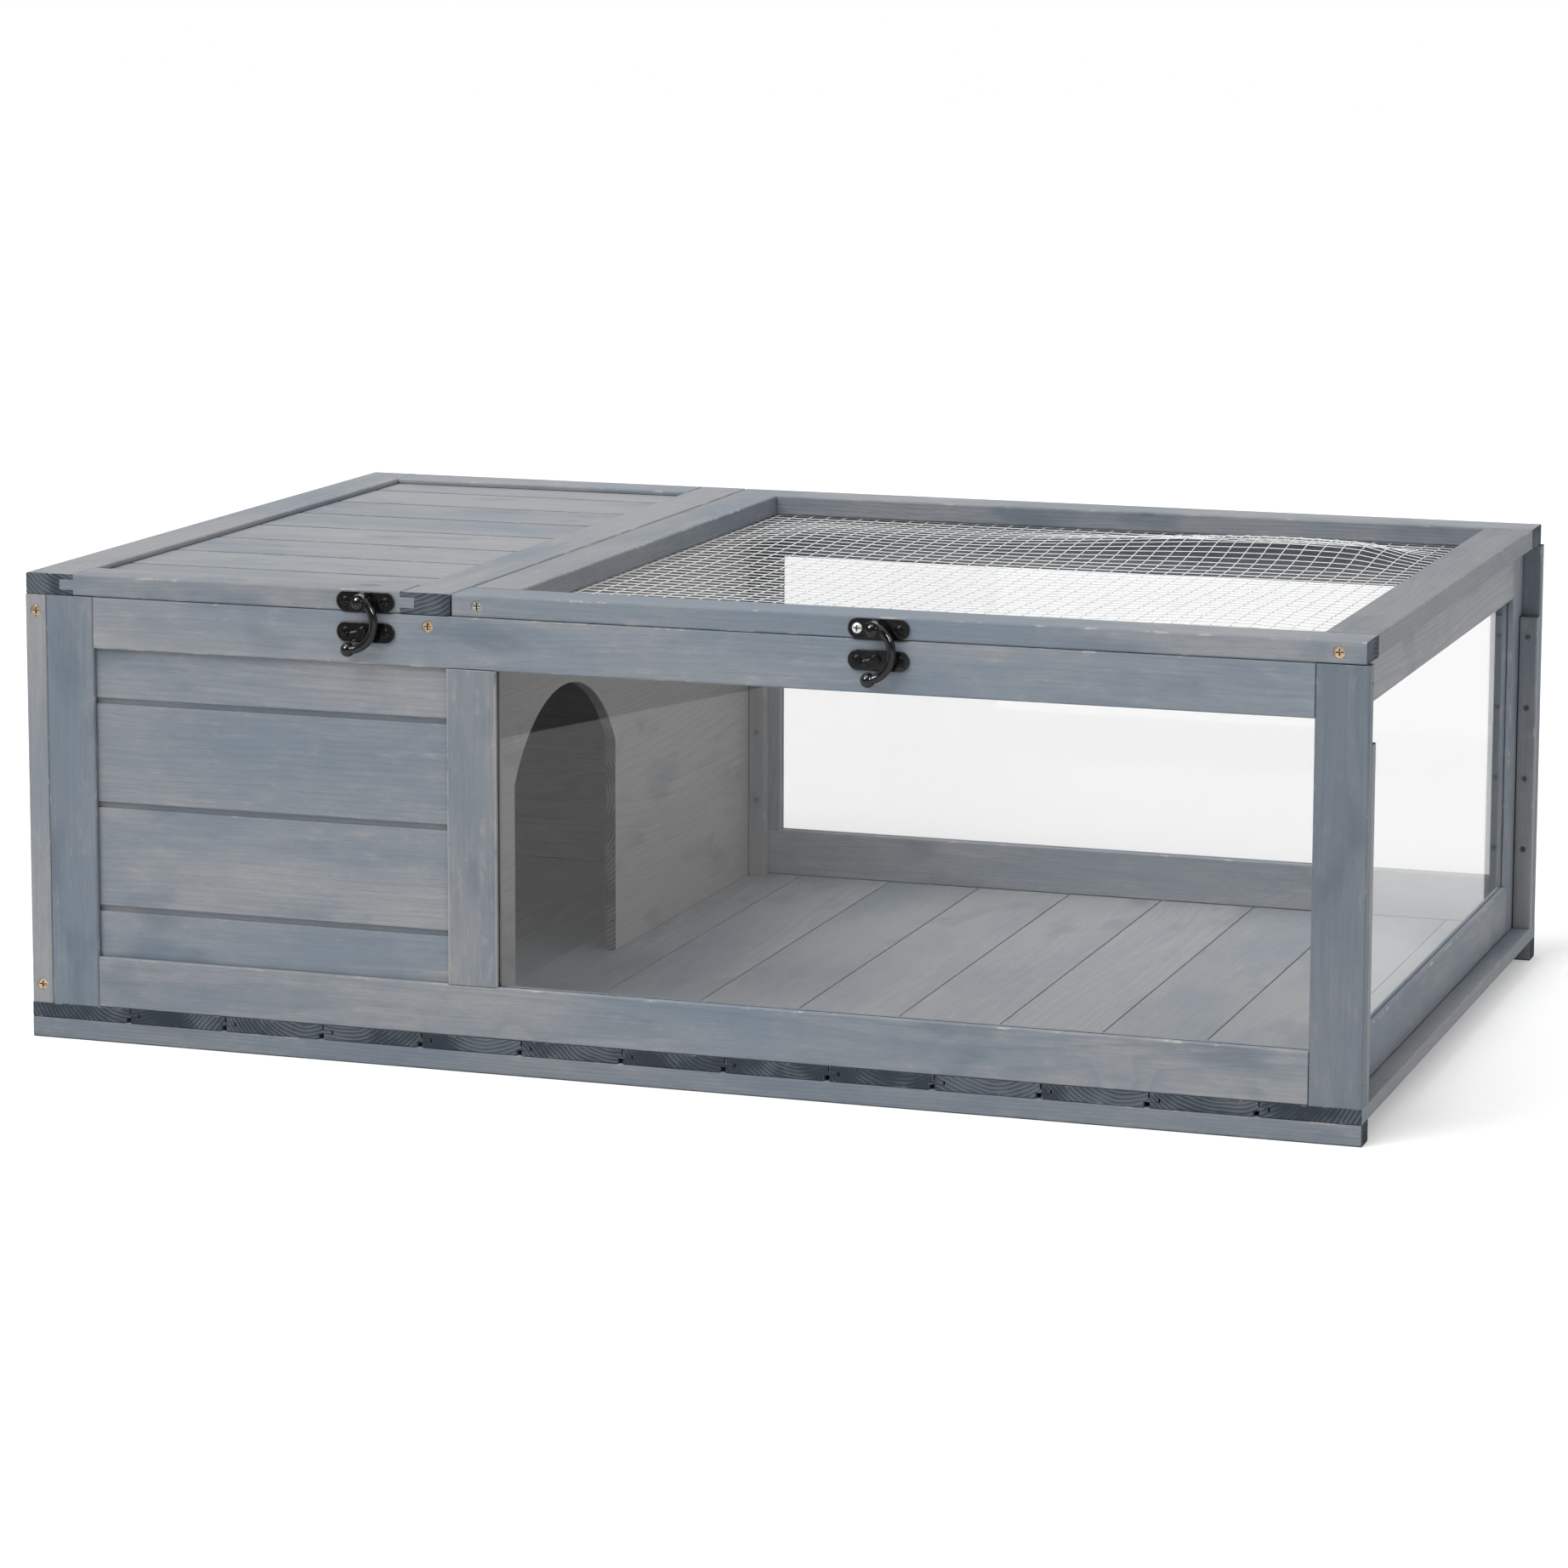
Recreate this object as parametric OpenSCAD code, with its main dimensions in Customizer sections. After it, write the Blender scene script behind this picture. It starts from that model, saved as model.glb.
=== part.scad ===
// Wooden tortoise house: two rooms under two hinged lids.
// Drawn from the left end (X), the front face (Y) and the ground (Z), then moved so that the
// origin lies at the middle of the footprint, on the ground.

/* [Body] */
// Width from the left end to the right end
body_w = 900; // [780:10:1200]
// Depth from the front face to the rear face
body_d = 580; // [440:10:760]
// Height of the walls above the floor
wall_h = 274.5; // [230:0.5:380]
// Thickness of the front and rear walls
wall_t = 10; // [10:0.5:16]
// Thickness of the left side wall
left_t = 15; // [12:0.5:20]
// Thickness of the right side wall
right_t = 10; // [8:0.5:14]
// How far the right side wall stands in from the end of the house
right_inset = 13; // [10:0.5:20]
// Place along the width where the two lids meet
junction_x = 302; // [260:2:420]

/* [Frame members] */
// Width of every frame rail, stile and post
rail_w = 34; // [30:1:40]
// Chamfer along the long edges of every member
chamfer = 0.8; // [0.3:0.1:1.5]
// Depth of the grooves that hold boards and panes in the walls
seat = 5; // [3:0.5:7]
// Play between a board, pane or tenon and its groove
fit_gap = 0.15; // [0.05:0.05:0.3]

/* [Skids and floor] */
// Height of the skids under the floor
skid_h = 14; // [10:1:30]
// Width of the skids from front to rear
skid_w = 18; // [14:1:40]
// Thickness of the floor boards
floor_t = 9.5; // [8:0.5:14]
// Width of the first floor board at the left end
floor_first = 71.5; // [50:0.5:100]

/* [Boards] */
// Width that one board covers
board_pitch = 69.5; // [55:0.5:95]
// Thickness of the wall boards
wall_board_t = 6.5; // [5.5:0.5:7]
// Thickness of the roof boards
roof_board_t = 7; // [6:0.5:9]
// How far the wall boards lie behind the frame's face
board_recess = 3.5; // [2:0.5:3.5]
// Visible width of the lowest wall board
wall_first = 34.5; // [25:0.5:60]
// Visible width of the front roof board
roof_first = 54; // [30:0.5:69]
// How far the tongue reaches into the next board
tongue_reach = 5.5; // [3:0.5:7]
// Thickness of the tongue
tongue_t = 2.3; // [1.5:0.1:3]
// Gap between the boards on their tight side
tight_gap = 1; // [0.5:0.1:2]
// Gap between the boards on their shadow side
shadow_gap = 4; // [2:0.5:5]

/* [Windows] */
// Thickness of the clear panes
pane_t = 2.5; // [2:0.5:4]

/* [Divider and beam] */
// Depth of the flat beam under the lids' meeting line
beam_t = 15; // [12:1:24]
// How far the beam's middle lies left of the lids' meeting line
beam_shift = 16; // [14:1:20]
// How far the middle posts' left edge lies left of the meeting line
post_shift = 3.5; // [0:0.5:8]
// Thickness of the divider
divider_t = 7.5; // [5:0.5:12]
// Play above the divider
divider_play = 0.5; // [0.3:0.1:2]
// Width of the doorway
doorway_w = 189; // [120:1:210]
// Distance from the front face to the middle of the doorway
doorway_y = 183; // [150:1:220]
// Height above the floor at which the doorway's arch starts
doorway_spring = 150; // [90:1:155]
// Radius of the doorway's arch
arch_r = 110.5; // [108:0.5:160]
// Width of the corner battens and the divider's battens, along the house
batten_w = 13; // [10:1:16]
// Thickness of the battens, front to rear
batten_t = 10; // [8:1:14]
// How far the battens end below the top of the walls
batten_drop = 50; // [20:1:90]

/* [Lids] */
// Thickness of both lids
lid_t = 14; // [13:0.5:20]
// Gap between the walls and the closed lids
lid_seam = 0.3; // [0.2:0.1:1]
// Gap between the two lids
lid_split = 1.8; // [1:0.1:4]
// How far the roof lid ends short of the left end
roof_end_gap = 0.9; // [0:0.1:4]
// How far the mesh lid ends short of the right end
mesh_end_gap = 2.5; // [0:0.1:6]
// Depth of the grooves in the roof lid's frame
lid_groove = 10; // [6:1:12]

/* [Wire mesh] */
// Pitch of the welded mesh
mesh_pitch = 12.7; // [10:0.1:26]
// Thickness of the wire
wire_t = 1; // [0.8:0.1:1.6]
// Play between the mesh and the walls inside
mesh_play = 1.5; // [1:0.5:4]

/* [Swing hooks] */
// How far the roof lid's hook lies left of the lids' meeting line
roof_hook_inset = 60.5; // [56:0.5:120]
// How far the mesh lid's hook lies left of that lid's middle
mesh_hook_shift = 12.7; // [-80:0.1:80]
// Length of the hasp plates
plate_l = 40; // [34:1:48]
// Width of the hasp plates
plate_w = 13; // [11:0.5:14]
// Thickness of the hasp plates
plate_t = 1.6; // [1:0.1:2]
// Height of one plate's middle above the other's
plate_rise = 20; // [19:0.5:24]
// How far the pivot lies left of the plate's middle
pivot_shift = 1.9; // [0:0.1:4]
// Distance between a hasp plate's screws
plate_screw_span = 28; // [24:1:30]
// Radius of the boss under the hook
boss_r = 5.6; // [4.5:0.1:6]
// Distance from the wood to the back of the hook
hook_stand = 4.5; // [4.3:0.1:6]
// Radius of the hook's rod
hook_r = 2.9; // [2.4:0.1:3.4]
// Radius of the hook's bend
hook_bend = 17.5; // [16:0.5:19]
// Radius of the hook's ball end
ball_r = 4.8; // [4:0.1:5.5]
// Radius of the pivot pin
pivot_r = 2; // [1.5:0.1:2.5]
// Running clearance of the pivots, on the radius
pivot_play = 0.05; // [0.02:0.01:0.1]
// Turn of the roof lid's hook at rest, seen from the front
roof_hook_turn = -9; // [-12:1:4]
// Turn of the mesh lid's hook at rest, seen from the front
mesh_hook_turn = 0; // [-12:1:4]
// Radius of the stud that the hook closes behind
stud_r = 3.4; // [2.5:0.1:4]
// Gap between the stud and the back of the hook
stud_gap = 0.3; // [0.3:0.1:1]
// Reach of the claw that lies left of the stud
claw_l = 8.2; // [6:0.1:10]
// Width of that claw
claw_w = 3; // [2:0.1:5]

/* [Hinges] */
// Length of each butt hinge
hinge_l = 40; // [34:1:60]
// Height of each hinge leaf beyond the knuckle
leaf_h = 9.5; // [8:0.5:10]
// Thickness of the hinge leaves
leaf_t = 1.2; // [0.8:0.1:1.6]
// Radius of the hinge knuckles
knuckle_r = 2.8; // [2.4:0.1:3.2]
// Radius of the hinge pins
pin_r = 1.2; // [1:0.1:1.5]
// Distance from a lid's end to the middle of its hinge
hinge_inset = 66; // [40:1:80]
// Gap between the knuckles along the pin
knuckle_gap = 0.3; // [0.2:0.1:0.5]

/* [Screws] */
// Radius of the countersunk heads in the frame
frame_head_r = 3.7; // [3:0.1:4.5]
// Radius of the screws in the frame
frame_screw_r = 1.75; // [1.4:0.05:2]
// Length of the long frame screws
frame_screw_l = 50; // [40:1:60]
// Radius of the hasp screws' heads
hasp_head_r = 3.4; // [3:0.1:3.8]
// Radius of the hinge screws' heads
hinge_head_r = 2.5; // [2:0.1:3]
// Radius of the hasp and hinge screws
small_screw_r = 1.2; // [1:0.05:1.4]
// Length of the hasp and hinge screws in the wood
small_screw_l = 7; // [5:0.5:8]
// Spacing of the batten screws
batten_screw_pitch = 51; // [35:1:60]

/* [Hidden] */
$fn = 48;

// how far a cut runs past what it cuts
over = 1;

// heights
floor_z = skid_h + floor_t;
top_z = floor_z + wall_h;
lid_z = top_z + lid_seam;
lid_mid_z = lid_z + lid_t/2;
wall_mid_z = (floor_z + top_z)/2;
batten_h = wall_h - batten_drop;

// places along the width
post_x = junction_x - post_shift;
left_bay = [left_t + rail_w, post_x];
window_bay = [post_x + rail_w, body_w - rail_w];
beam_x = junction_x - beam_shift;
divider_x = beam_x + rail_w/2;
divider_face_x = divider_x + divider_t;
right_wall_x = body_w - right_inset - right_t;
roof_ends = [roof_end_gap, junction_x - lid_split/2];
mesh_ends = [junction_x + lid_split/2, body_w - mesh_end_gap];

// openings between the rails
bay_z = [floor_z + rail_w, top_z - rail_w];
left_bay_y = [rail_w, body_d - rail_w];
right_bay_y = [wall_t + rail_w, body_d - wall_t - rail_w];

// hinges and hooks
axis_y = body_d + knuckle_r;
axis_z = top_z + lid_seam/2;
leaf_clear = 0.4;
roof_hook_x = junction_x - roof_hook_inset;
mesh_hook_x = (mesh_ends[0] + mesh_ends[1])/2 - mesh_hook_shift;
hasp_drop = 0.5;
hasp_z = lid_mid_z - hasp_drop;
catch_z = hasp_z - plate_rise;
root_lap = 0.2;
root_t = 2*(hook_r + root_lap);
rod_mid = hook_stand + root_t/2;
bend_back = 5.2;
bend_drop = 14.2;
bend_start = 75;
bend_sweep = 158;
rivet_t = 1.4;
rivet_r = 4.2;
rivet_gap = 0.2;
rivet_trim = 0.1;

// screws
head_depth = 2.6;
head_sink = 0.2;
recess_depth = 1.4;
screw_play = 0.05;
end_screw_y = wall_t/2;
end_screw_r = 1.3;
end_head_r = 2.1;
top_screw_drop = 11;
low_screw_rise = 12.5;
small_head_t = 1.3;
small_recess = 0.9;

// the finished row's origin: the middle of the footprint
front_reach = rod_mid + ball_r;
rear_reach = body_d + 2*knuckle_r;
origin = [body_w/2, (rear_reach - front_reach)/2, 0];

wood = [0.53, 0.55, 0.59];
end_wood = [0.42, 0.44, 0.48];
clear = [0.85, 0.92, 0.95, 0.35];
black = [0.06, 0.06, 0.07];
brass = [0.74, 0.6, 0.34];
zinc = [0.72, 0.74, 0.76];

module place() translate(-origin) children();

// a straight member with its long edges chamfered
function chamfered(a, b) = [
    [chamfer, 0], [a - chamfer, 0], [a, chamfer], [a, b - chamfer],
    [a - chamfer, b], [chamfer, b], [0, b - chamfer], [0, chamfer]
];
module timber_x(l, y, z) rotate([90, 0, 90]) linear_extrude(l) polygon(chamfered(y, z));
module timber_y(x, l, z)
    translate([0, l, 0]) rotate([90, 0, 0]) linear_extrude(l) polygon(chamfered(x, z));
module timber_z(x, y, l) linear_extrude(l) polygon(chamfered(x, y));

// a box between two corners
module span_box(low, high) translate(low) cube(high - low);

// ---- boards ----

tongue_play = 1.2;
// outline of a board across its width: tight side up, shadow side down
function board_outline(w, t, tongue, groove) =
    let (
        low = (t - tongue_t)/2,
        high = (t + tongue_t)/2,
        slot = tongue_reach + tongue_play
    ) concat(
        [[0, 0]],
        tongue
            ? [[w - shadow_gap, 0], [w - shadow_gap, low], [w + tongue_reach, low],
               [w + tongue_reach, high], [w - tight_gap, high], [w - tight_gap, t]]
            : [[w, 0], [w, t]],
        [[0, t]],
        groove
            ? [[0, high + fit_gap], [slot, high + fit_gap],
               [slot, low - fit_gap], [0, low - fit_gap]]
            : []
    );

// how many boards cover a span: the last one takes a quarter to one and a quarter of a board
function board_count(span, first) = ceil((span - first)/board_pitch - 0.25) + 1;

// a row of boards from 0 to span along X, t thick along Y, l long along Z
module board_row(span, first, t, l) {
    n = board_count(span, first);
    for (i = [0:n - 1]) {
        at = i == 0 ? 0 : first + (i - 1)*board_pitch;
        w = i == 0 ? first : i == n - 1 ? span - at : board_pitch;
        translate([at, 0, 0]) linear_extrude(l)
            polygon(board_outline(w, t, i < n - 1, i > 0));
    }
}

// a panel of wall boards: length along the wall, lowest board at the bottom
module wall_panel(length) {
    play = 2*fit_gap;
    mirror([1, 0, -1])
        board_row(bay_z[1] - bay_z[0] + 2*seat - play, wall_first + seat - fit_gap,
                  wall_board_t, length + 2*seat - play);
}

// ---- what the frames are cut for ----

// grooves for the boards and the pane in the front wall, mirrored for the rear wall
module long_wall_cuts() {
    span_box([left_bay[0] - seat, board_recess - fit_gap, bay_z[0] - seat],
             [left_bay[1] + seat, board_recess + wall_board_t + fit_gap, bay_z[1] + seat]);
    span_box([window_bay[0] - seat, (wall_t - pane_t)/2 - fit_gap, bay_z[0] - seat],
             [window_bay[1] + seat, (wall_t + pane_t)/2 + fit_gap, bay_z[1] + seat]);
}
module left_wall_cuts()
    span_box([board_recess - fit_gap, left_bay_y[0] - seat, bay_z[0] - seat],
             [board_recess + wall_board_t + fit_gap, left_bay_y[1] + seat, bay_z[1] + seat]);
module right_wall_cuts()
    translate([right_wall_x, 0, 0])
        span_box([(right_t - pane_t)/2 - fit_gap, right_bay_y[0] - seat, bay_z[0] - seat],
                 [(right_t + pane_t)/2 + fit_gap, right_bay_y[1] + seat, bay_z[1] + seat]);

// ---- screws: the head's face looks along +Z, the point goes down ----

module cross_recess(r, depth)
    for (turn = [0, 90]) rotate([0, 0, turn])
        translate([-r*0.62, -r*0.13, -depth]) cube([r*1.24, r*0.26, depth + over]);
// half of the section of a countersunk screw that stands up to the height top
function screw_section(head_r, r, l, top) = [
    [0, -l], [r, -l], [r, -head_sink - head_depth], [head_r, -head_sink], [head_r, top], [0, top]
];
module countersunk_screw(head_r, r, l) difference() {
    rotate_extrude() polygon(screw_section(head_r, r, l, -head_sink));
    translate([0, 0, -head_sink]) cross_recess(head_r, recess_depth);
}
module countersunk_hole(head_r, r, l) rotate_extrude()
    polygon(screw_section(head_r + screw_play, r + screw_play, l + screw_play, over));
module domed_screw(head_r) {
    ball = (head_r*head_r + small_head_t*small_head_t)/(2*small_head_t);
    difference() {
        intersection() {
            translate([0, 0, small_head_t - ball]) sphere(ball);
            cylinder(small_head_t + over, r = head_r);
        }
        translate([0, 0, small_head_t]) cross_recess(head_r, small_recess);
    }
    translate([0, 0, -small_screw_l]) cylinder(small_screw_l, r = small_screw_r);
}
module small_hole()
    translate([0, 0, -small_screw_l - screw_play])
        cylinder(small_screw_l + screw_play + over, r = small_screw_r + screw_play);

// turn the head towards the front, the rear or the right end
module face_front() rotate([90, 0, 0]) children();
module face_rear() rotate([-90, 0, 0]) children();
module face_right() rotate([0, 90, 0]) children();

// frame screws in the front and rear faces: through the left stiles, and into the beam
frame_screw_places = [
    [left_t/2, top_z - top_screw_drop],
    [left_t/2, floor_z + low_screw_rise],
    [beam_x, top_z - beam_t/2]
];
module at_frame_screws() for (p = frame_screw_places) {
    translate([p[0], 0, p[1]]) face_front() children();
    translate([p[0], body_d, p[1]]) face_rear() children();
}
// screws in the right end, through the posts into the rails
module at_end_screws()
    for (y = [end_screw_y, body_d - end_screw_y], z = [floor_z + rail_w/2, top_z - top_screw_drop])
        translate([body_w, y, z]) face_right() children();
// mesh lid screws, through the rails into the stiles
module at_mesh_screws()
    for (x = [mesh_ends[0] + rail_w/2, mesh_ends[1] - rail_w/2]) {
        translate([x, 0, lid_mid_z]) face_front() children();
        translate([x, body_d, lid_mid_z]) face_rear() children();
    }
// batten screws, through the battens into the front and rear walls
batten_screw_drop = 14;
module at_batten_screws() for (i = [0:3]) {
    z = floor_z + batten_h - batten_screw_drop - i*batten_screw_pitch;
    for (x = [body_w - right_inset/2, divider_face_x + batten_w/2]) {
        translate([x, wall_t + batten_t, z]) face_rear() children();
        translate([x, body_d - wall_t - batten_t, z]) face_front() children();
    }
}

module frame_screw() countersunk_screw(frame_head_r, frame_screw_r, frame_screw_l);
module frame_hole() countersunk_hole(frame_head_r, frame_screw_r, frame_screw_l);
module end_screw() countersunk_screw(end_head_r, end_screw_r, frame_screw_l);
module end_hole() countersunk_hole(end_head_r, end_screw_r, frame_screw_l);
batten_screw_l = batten_t + wall_t/2;
module batten_screw() countersunk_screw(end_head_r, end_screw_r, batten_screw_l);
module batten_hole() countersunk_hole(end_head_r, end_screw_r, batten_screw_l);

// small screws of one hasp plate, and of the hinges along one height
module at_plate_screws(pivot_x, z)
    for (side = [-1, 1])
        translate([pivot_x + pivot_shift + side*plate_screw_span/2, 0, z]) face_front() children();
hinge_screw_inset = 6.5;
hinge_screw_dx = hinge_l/2 - hinge_screw_inset;
function hinge_places(ends) = [ends[0] + hinge_inset, ends[1] - hinge_inset];
module at_hinge_screws(ends, z)
    for (x = hinge_places(ends), side = [-1, 1])
        translate([x + side*hinge_screw_dx, body_d, z]) face_rear() children();
lid_leaf_screw_z = axis_z + knuckle_r + leaf_clear + leaf_h/2;
body_leaf_screw_z = axis_z - knuckle_r - leaf_clear - leaf_h/2;

// ---- skids and floor ----

module front_skid() color(wood) place() timber_x(body_w, skid_w, skid_h);
module rear_skid() color(wood) place()
    translate([0, body_d - skid_w, 0]) timber_x(body_w, skid_w, skid_h);
module floor_boards() color(end_wood) place()
    translate([0, 0, skid_h]) mirror([0, 1, -1]) board_row(body_w, floor_first, floor_t, body_d);

// ---- front wall ----

// all that is cut out of the front frame, and out of the rear frame before it is mirrored
module wall_frame_cuts() {
    long_wall_cuts();
    at_frame_screws() frame_hole();
    at_end_screws() end_hole();
    at_batten_screws() batten_hole();
}
module front_cuts() {
    wall_frame_cuts();
    at_plate_screws(roof_hook_x, catch_z) small_hole();
    at_plate_screws(mesh_hook_x, catch_z) small_hole();
}
module long_wall_post(x, z, l) translate([x, 0, z]) timber_z(rail_w, wall_t, l);
module long_wall_rail(z)
    translate([left_bay[0], 0, z]) timber_x(window_bay[1] - left_bay[0], wall_t, rail_w);
module front_left_post() color(wood) place() difference() {
    long_wall_post(left_t, floor_z, wall_h);
    front_cuts();
}
module front_middle_post() color(wood) place() difference() {
    long_wall_post(post_x, bay_z[0], bay_z[1] - bay_z[0]);
    front_cuts();
}
module front_right_post() color(wood) place() difference() {
    long_wall_post(window_bay[1], floor_z, wall_h);
    front_cuts();
}
module front_top_rail() color(wood) place() difference() {
    long_wall_rail(bay_z[1]);
    front_cuts();
}
module front_bottom_rail() color(wood) place() difference() {
    long_wall_rail(floor_z);
    front_cuts();
}
module long_wall_boards()
    translate([left_bay[0] - seat + fit_gap, board_recess, bay_z[0] - seat + fit_gap])
        wall_panel(left_bay[1] - left_bay[0]);
module long_wall_pane()
    span_box([window_bay[0] - seat + fit_gap, (wall_t - pane_t)/2, bay_z[0] - seat + fit_gap],
             [window_bay[1] + seat - fit_gap, (wall_t + pane_t)/2, bay_z[1] + seat - fit_gap]);
module front_wall_boards() color(wood) place() long_wall_boards();
module front_window_pane() color(clear) place() long_wall_pane();

// ---- rear wall: the front wall's mirror image ----

module at_rear() translate([0, body_d, 0]) mirror([0, 1, 0]) children();
module rear_cuts() {
    at_rear() wall_frame_cuts();
    at_hinge_screws(roof_ends, body_leaf_screw_z) small_hole();
    at_hinge_screws(mesh_ends, body_leaf_screw_z) small_hole();
}
module rear_left_post() color(wood) place() difference() {
    at_rear() long_wall_post(left_t, floor_z, wall_h);
    rear_cuts();
}
module rear_middle_post() color(wood) place() difference() {
    at_rear() long_wall_post(post_x, bay_z[0], bay_z[1] - bay_z[0]);
    rear_cuts();
}
module rear_right_post() color(wood) place() difference() {
    at_rear() long_wall_post(window_bay[1], floor_z, wall_h);
    rear_cuts();
}
module rear_top_rail() color(wood) place() difference() {
    at_rear() long_wall_rail(bay_z[1]);
    rear_cuts();
}
module rear_bottom_rail() color(wood) place() difference() {
    at_rear() long_wall_rail(floor_z);
    rear_cuts();
}
module rear_wall_boards() color(wood) place() at_rear() long_wall_boards();
module rear_window_pane() color(clear) place() at_rear() long_wall_pane();

// ---- left side wall ----

module left_stile() difference() {
    translate([0, 0, floor_z]) timber_z(left_t, rail_w, wall_h);
    left_wall_cuts();
    at_frame_screws() frame_hole();
}
module left_front_stile() color(wood) place() left_stile();
module left_rear_stile() color(wood) place() at_rear() left_stile();
module left_rail(z) difference() {
    translate([0, rail_w, z]) timber_y(left_t, body_d - 2*rail_w, rail_w);
    left_wall_cuts();
    at_frame_screws() frame_hole();
}
module left_top_rail() color(wood) place() left_rail(bay_z[1]);
module left_bottom_rail() color(wood) place() left_rail(floor_z);
module left_wall_boards() color(wood) place()
    translate([board_recess, left_bay_y[0] - seat + fit_gap, bay_z[0] - seat + fit_gap])
        mirror([1, -1, 0]) wall_panel(left_bay_y[1] - left_bay_y[0]);

// ---- right side wall, between the front and rear walls ----

module right_stile() difference() {
    translate([right_wall_x, wall_t, floor_z]) timber_z(right_t, rail_w, wall_h);
    right_wall_cuts();
}
module right_front_stile() color(wood) place() right_stile();
module right_rear_stile() color(wood) place() at_rear() right_stile();
module right_rail(z) difference() {
    translate([right_wall_x, right_bay_y[0], z])
        timber_y(right_t, right_bay_y[1] - right_bay_y[0], rail_w);
    right_wall_cuts();
}
module right_top_rail() color(wood) place() right_rail(bay_z[1]);
module right_bottom_rail() color(wood) place() right_rail(floor_z);
module side_window_pane() color(clear) place() translate([right_wall_x, 0, 0])
    span_box([(right_t - pane_t)/2, right_bay_y[0] - seat + fit_gap, bay_z[0] - seat + fit_gap],
             [(right_t + pane_t)/2, right_bay_y[1] + seat - fit_gap, bay_z[1] + seat - fit_gap]);
module corner_batten() difference() {
    translate([body_w - right_inset, wall_t, floor_z])
        timber_z(right_inset, batten_t, batten_h);
    at_batten_screws() batten_hole();
}
module front_corner_batten() color(wood) place() corner_batten();
module rear_corner_batten() color(wood) place() at_rear() corner_batten();

// ---- divider, its battens, and the beam ----

// a strip of the doorway's width, cut off at the top by the arch
arch_z = floor_z + doorway_spring - sqrt(arch_r^2 - doorway_w^2/4);
module doorway() intersection() {
    translate([divider_x - over, doorway_y - doorway_w/2, floor_z - over])
        cube([divider_t + 2*over, doorway_w, wall_h]);
    union() {
        translate([divider_x - 2*over, doorway_y, arch_z]) rotate([0, 90, 0])
            cylinder(divider_t + 4*over, r = arch_r);
        translate([divider_x - 2*over, doorway_y - doorway_w/2 - over, floor_z - 2*over])
            cube([divider_t + 4*over, doorway_w + 2*over, arch_z - floor_z + 2*over]);
    }
}
module divider() color(wood) place() difference() {
    translate([divider_x, wall_t + fit_gap, floor_z])
        cube([divider_t, body_d - 2*wall_t - 2*fit_gap, wall_h - divider_play]);
    doorway();
}
module divider_batten() difference() {
    translate([divider_face_x, wall_t, floor_z]) timber_z(batten_w, batten_t, batten_h);
    at_batten_screws() batten_hole();
}
module divider_battens() color(wood) place() {
    divider_batten();
    at_rear() divider_batten();
}
module centre_beam() color(wood) place() difference() {
    translate([beam_x - rail_w/2, wall_t, top_z - beam_t])
        timber_y(rail_w, body_d - 2*wall_t, beam_t);
    at_frame_screws() frame_hole();
}

// ---- roof lid ----

groove_z = [lid_mid_z - roof_board_t/2, lid_mid_z + roof_board_t/2];
module roof_stile(x, groove_x) difference() {
    translate([x, 0, lid_z]) timber_y(rail_w, body_d, lid_t);
    span_box([groove_x - lid_groove, -over, groove_z[0] - fit_gap],
             [groove_x + lid_groove, body_d + over, groove_z[1] + fit_gap]);
    at_plate_screws(roof_hook_x, hasp_z) small_hole();
    at_hinge_screws(roof_ends, lid_leaf_screw_z) small_hole();
}
module roof_left_stile() color(wood) place() roof_stile(roof_ends[0], roof_ends[0] + rail_w);
module roof_right_stile() color(wood) place()
    roof_stile(roof_ends[1] - rail_w, roof_ends[1] - rail_w);
roof_bay_x = [roof_ends[0] + rail_w, roof_ends[1] - rail_w];
module roof_rail() difference() {
    union() {
        translate([roof_bay_x[0], 0, lid_z])
            timber_x(roof_bay_x[1] - roof_bay_x[0], rail_w, lid_t);
        span_box([roof_bay_x[0] - lid_groove + fit_gap, 0, groove_z[0]],
                 [roof_bay_x[1] + lid_groove - fit_gap, rail_w, groove_z[1]]);
    }
    span_box([roof_bay_x[0] - lid_groove - over, rail_w - seat, groove_z[0] - fit_gap],
             [roof_bay_x[1] + lid_groove + over, rail_w + over, groove_z[1] + fit_gap]);
}
module roof_front_rail() color(wood) place() difference() {
    roof_rail();
    at_plate_screws(roof_hook_x, hasp_z) small_hole();
}
module roof_rear_rail() color(wood) place() difference() {
    at_rear() roof_rail();
    at_hinge_screws(roof_ends, lid_leaf_screw_z) small_hole();
}
module roof_boards() color(wood) place()
    translate([roof_bay_x[0] - lid_groove + fit_gap, rail_w - seat + fit_gap, groove_z[1]])
        mirror([0, 0, 1]) rotate([90, 0, 90])
            board_row(body_d - 2*rail_w + 2*seat - 2*fit_gap, roof_first + seat - fit_gap,
                      roof_board_t, roof_bay_x[1] - roof_bay_x[0] + 2*lid_groove - 2*fit_gap);

// ---- mesh lid ----

module mesh_rail() difference() {
    translate([mesh_ends[0], 0, lid_z]) timber_x(mesh_ends[1] - mesh_ends[0], rail_w, lid_t);
    at_mesh_screws() frame_hole();
    at_plate_screws(mesh_hook_x, hasp_z) small_hole();
}
module mesh_front_rail() color(wood) place() mesh_rail();
module mesh_rear_rail() color(wood) place() difference() {
    translate([mesh_ends[0], body_d - rail_w, lid_z])
        timber_x(mesh_ends[1] - mesh_ends[0], rail_w, lid_t);
    at_mesh_screws() frame_hole();
    at_hinge_screws(mesh_ends, lid_leaf_screw_z) small_hole();
}
module mesh_stile(x) difference() {
    translate([x, rail_w, lid_z]) timber_y(rail_w, body_d - 2*rail_w, lid_t);
    at_mesh_screws() frame_hole();
}
module mesh_left_stile() color(wood) place() mesh_stile(mesh_ends[0]);
module mesh_right_stile() color(wood) place() mesh_stile(mesh_ends[1] - rail_w);

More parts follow.
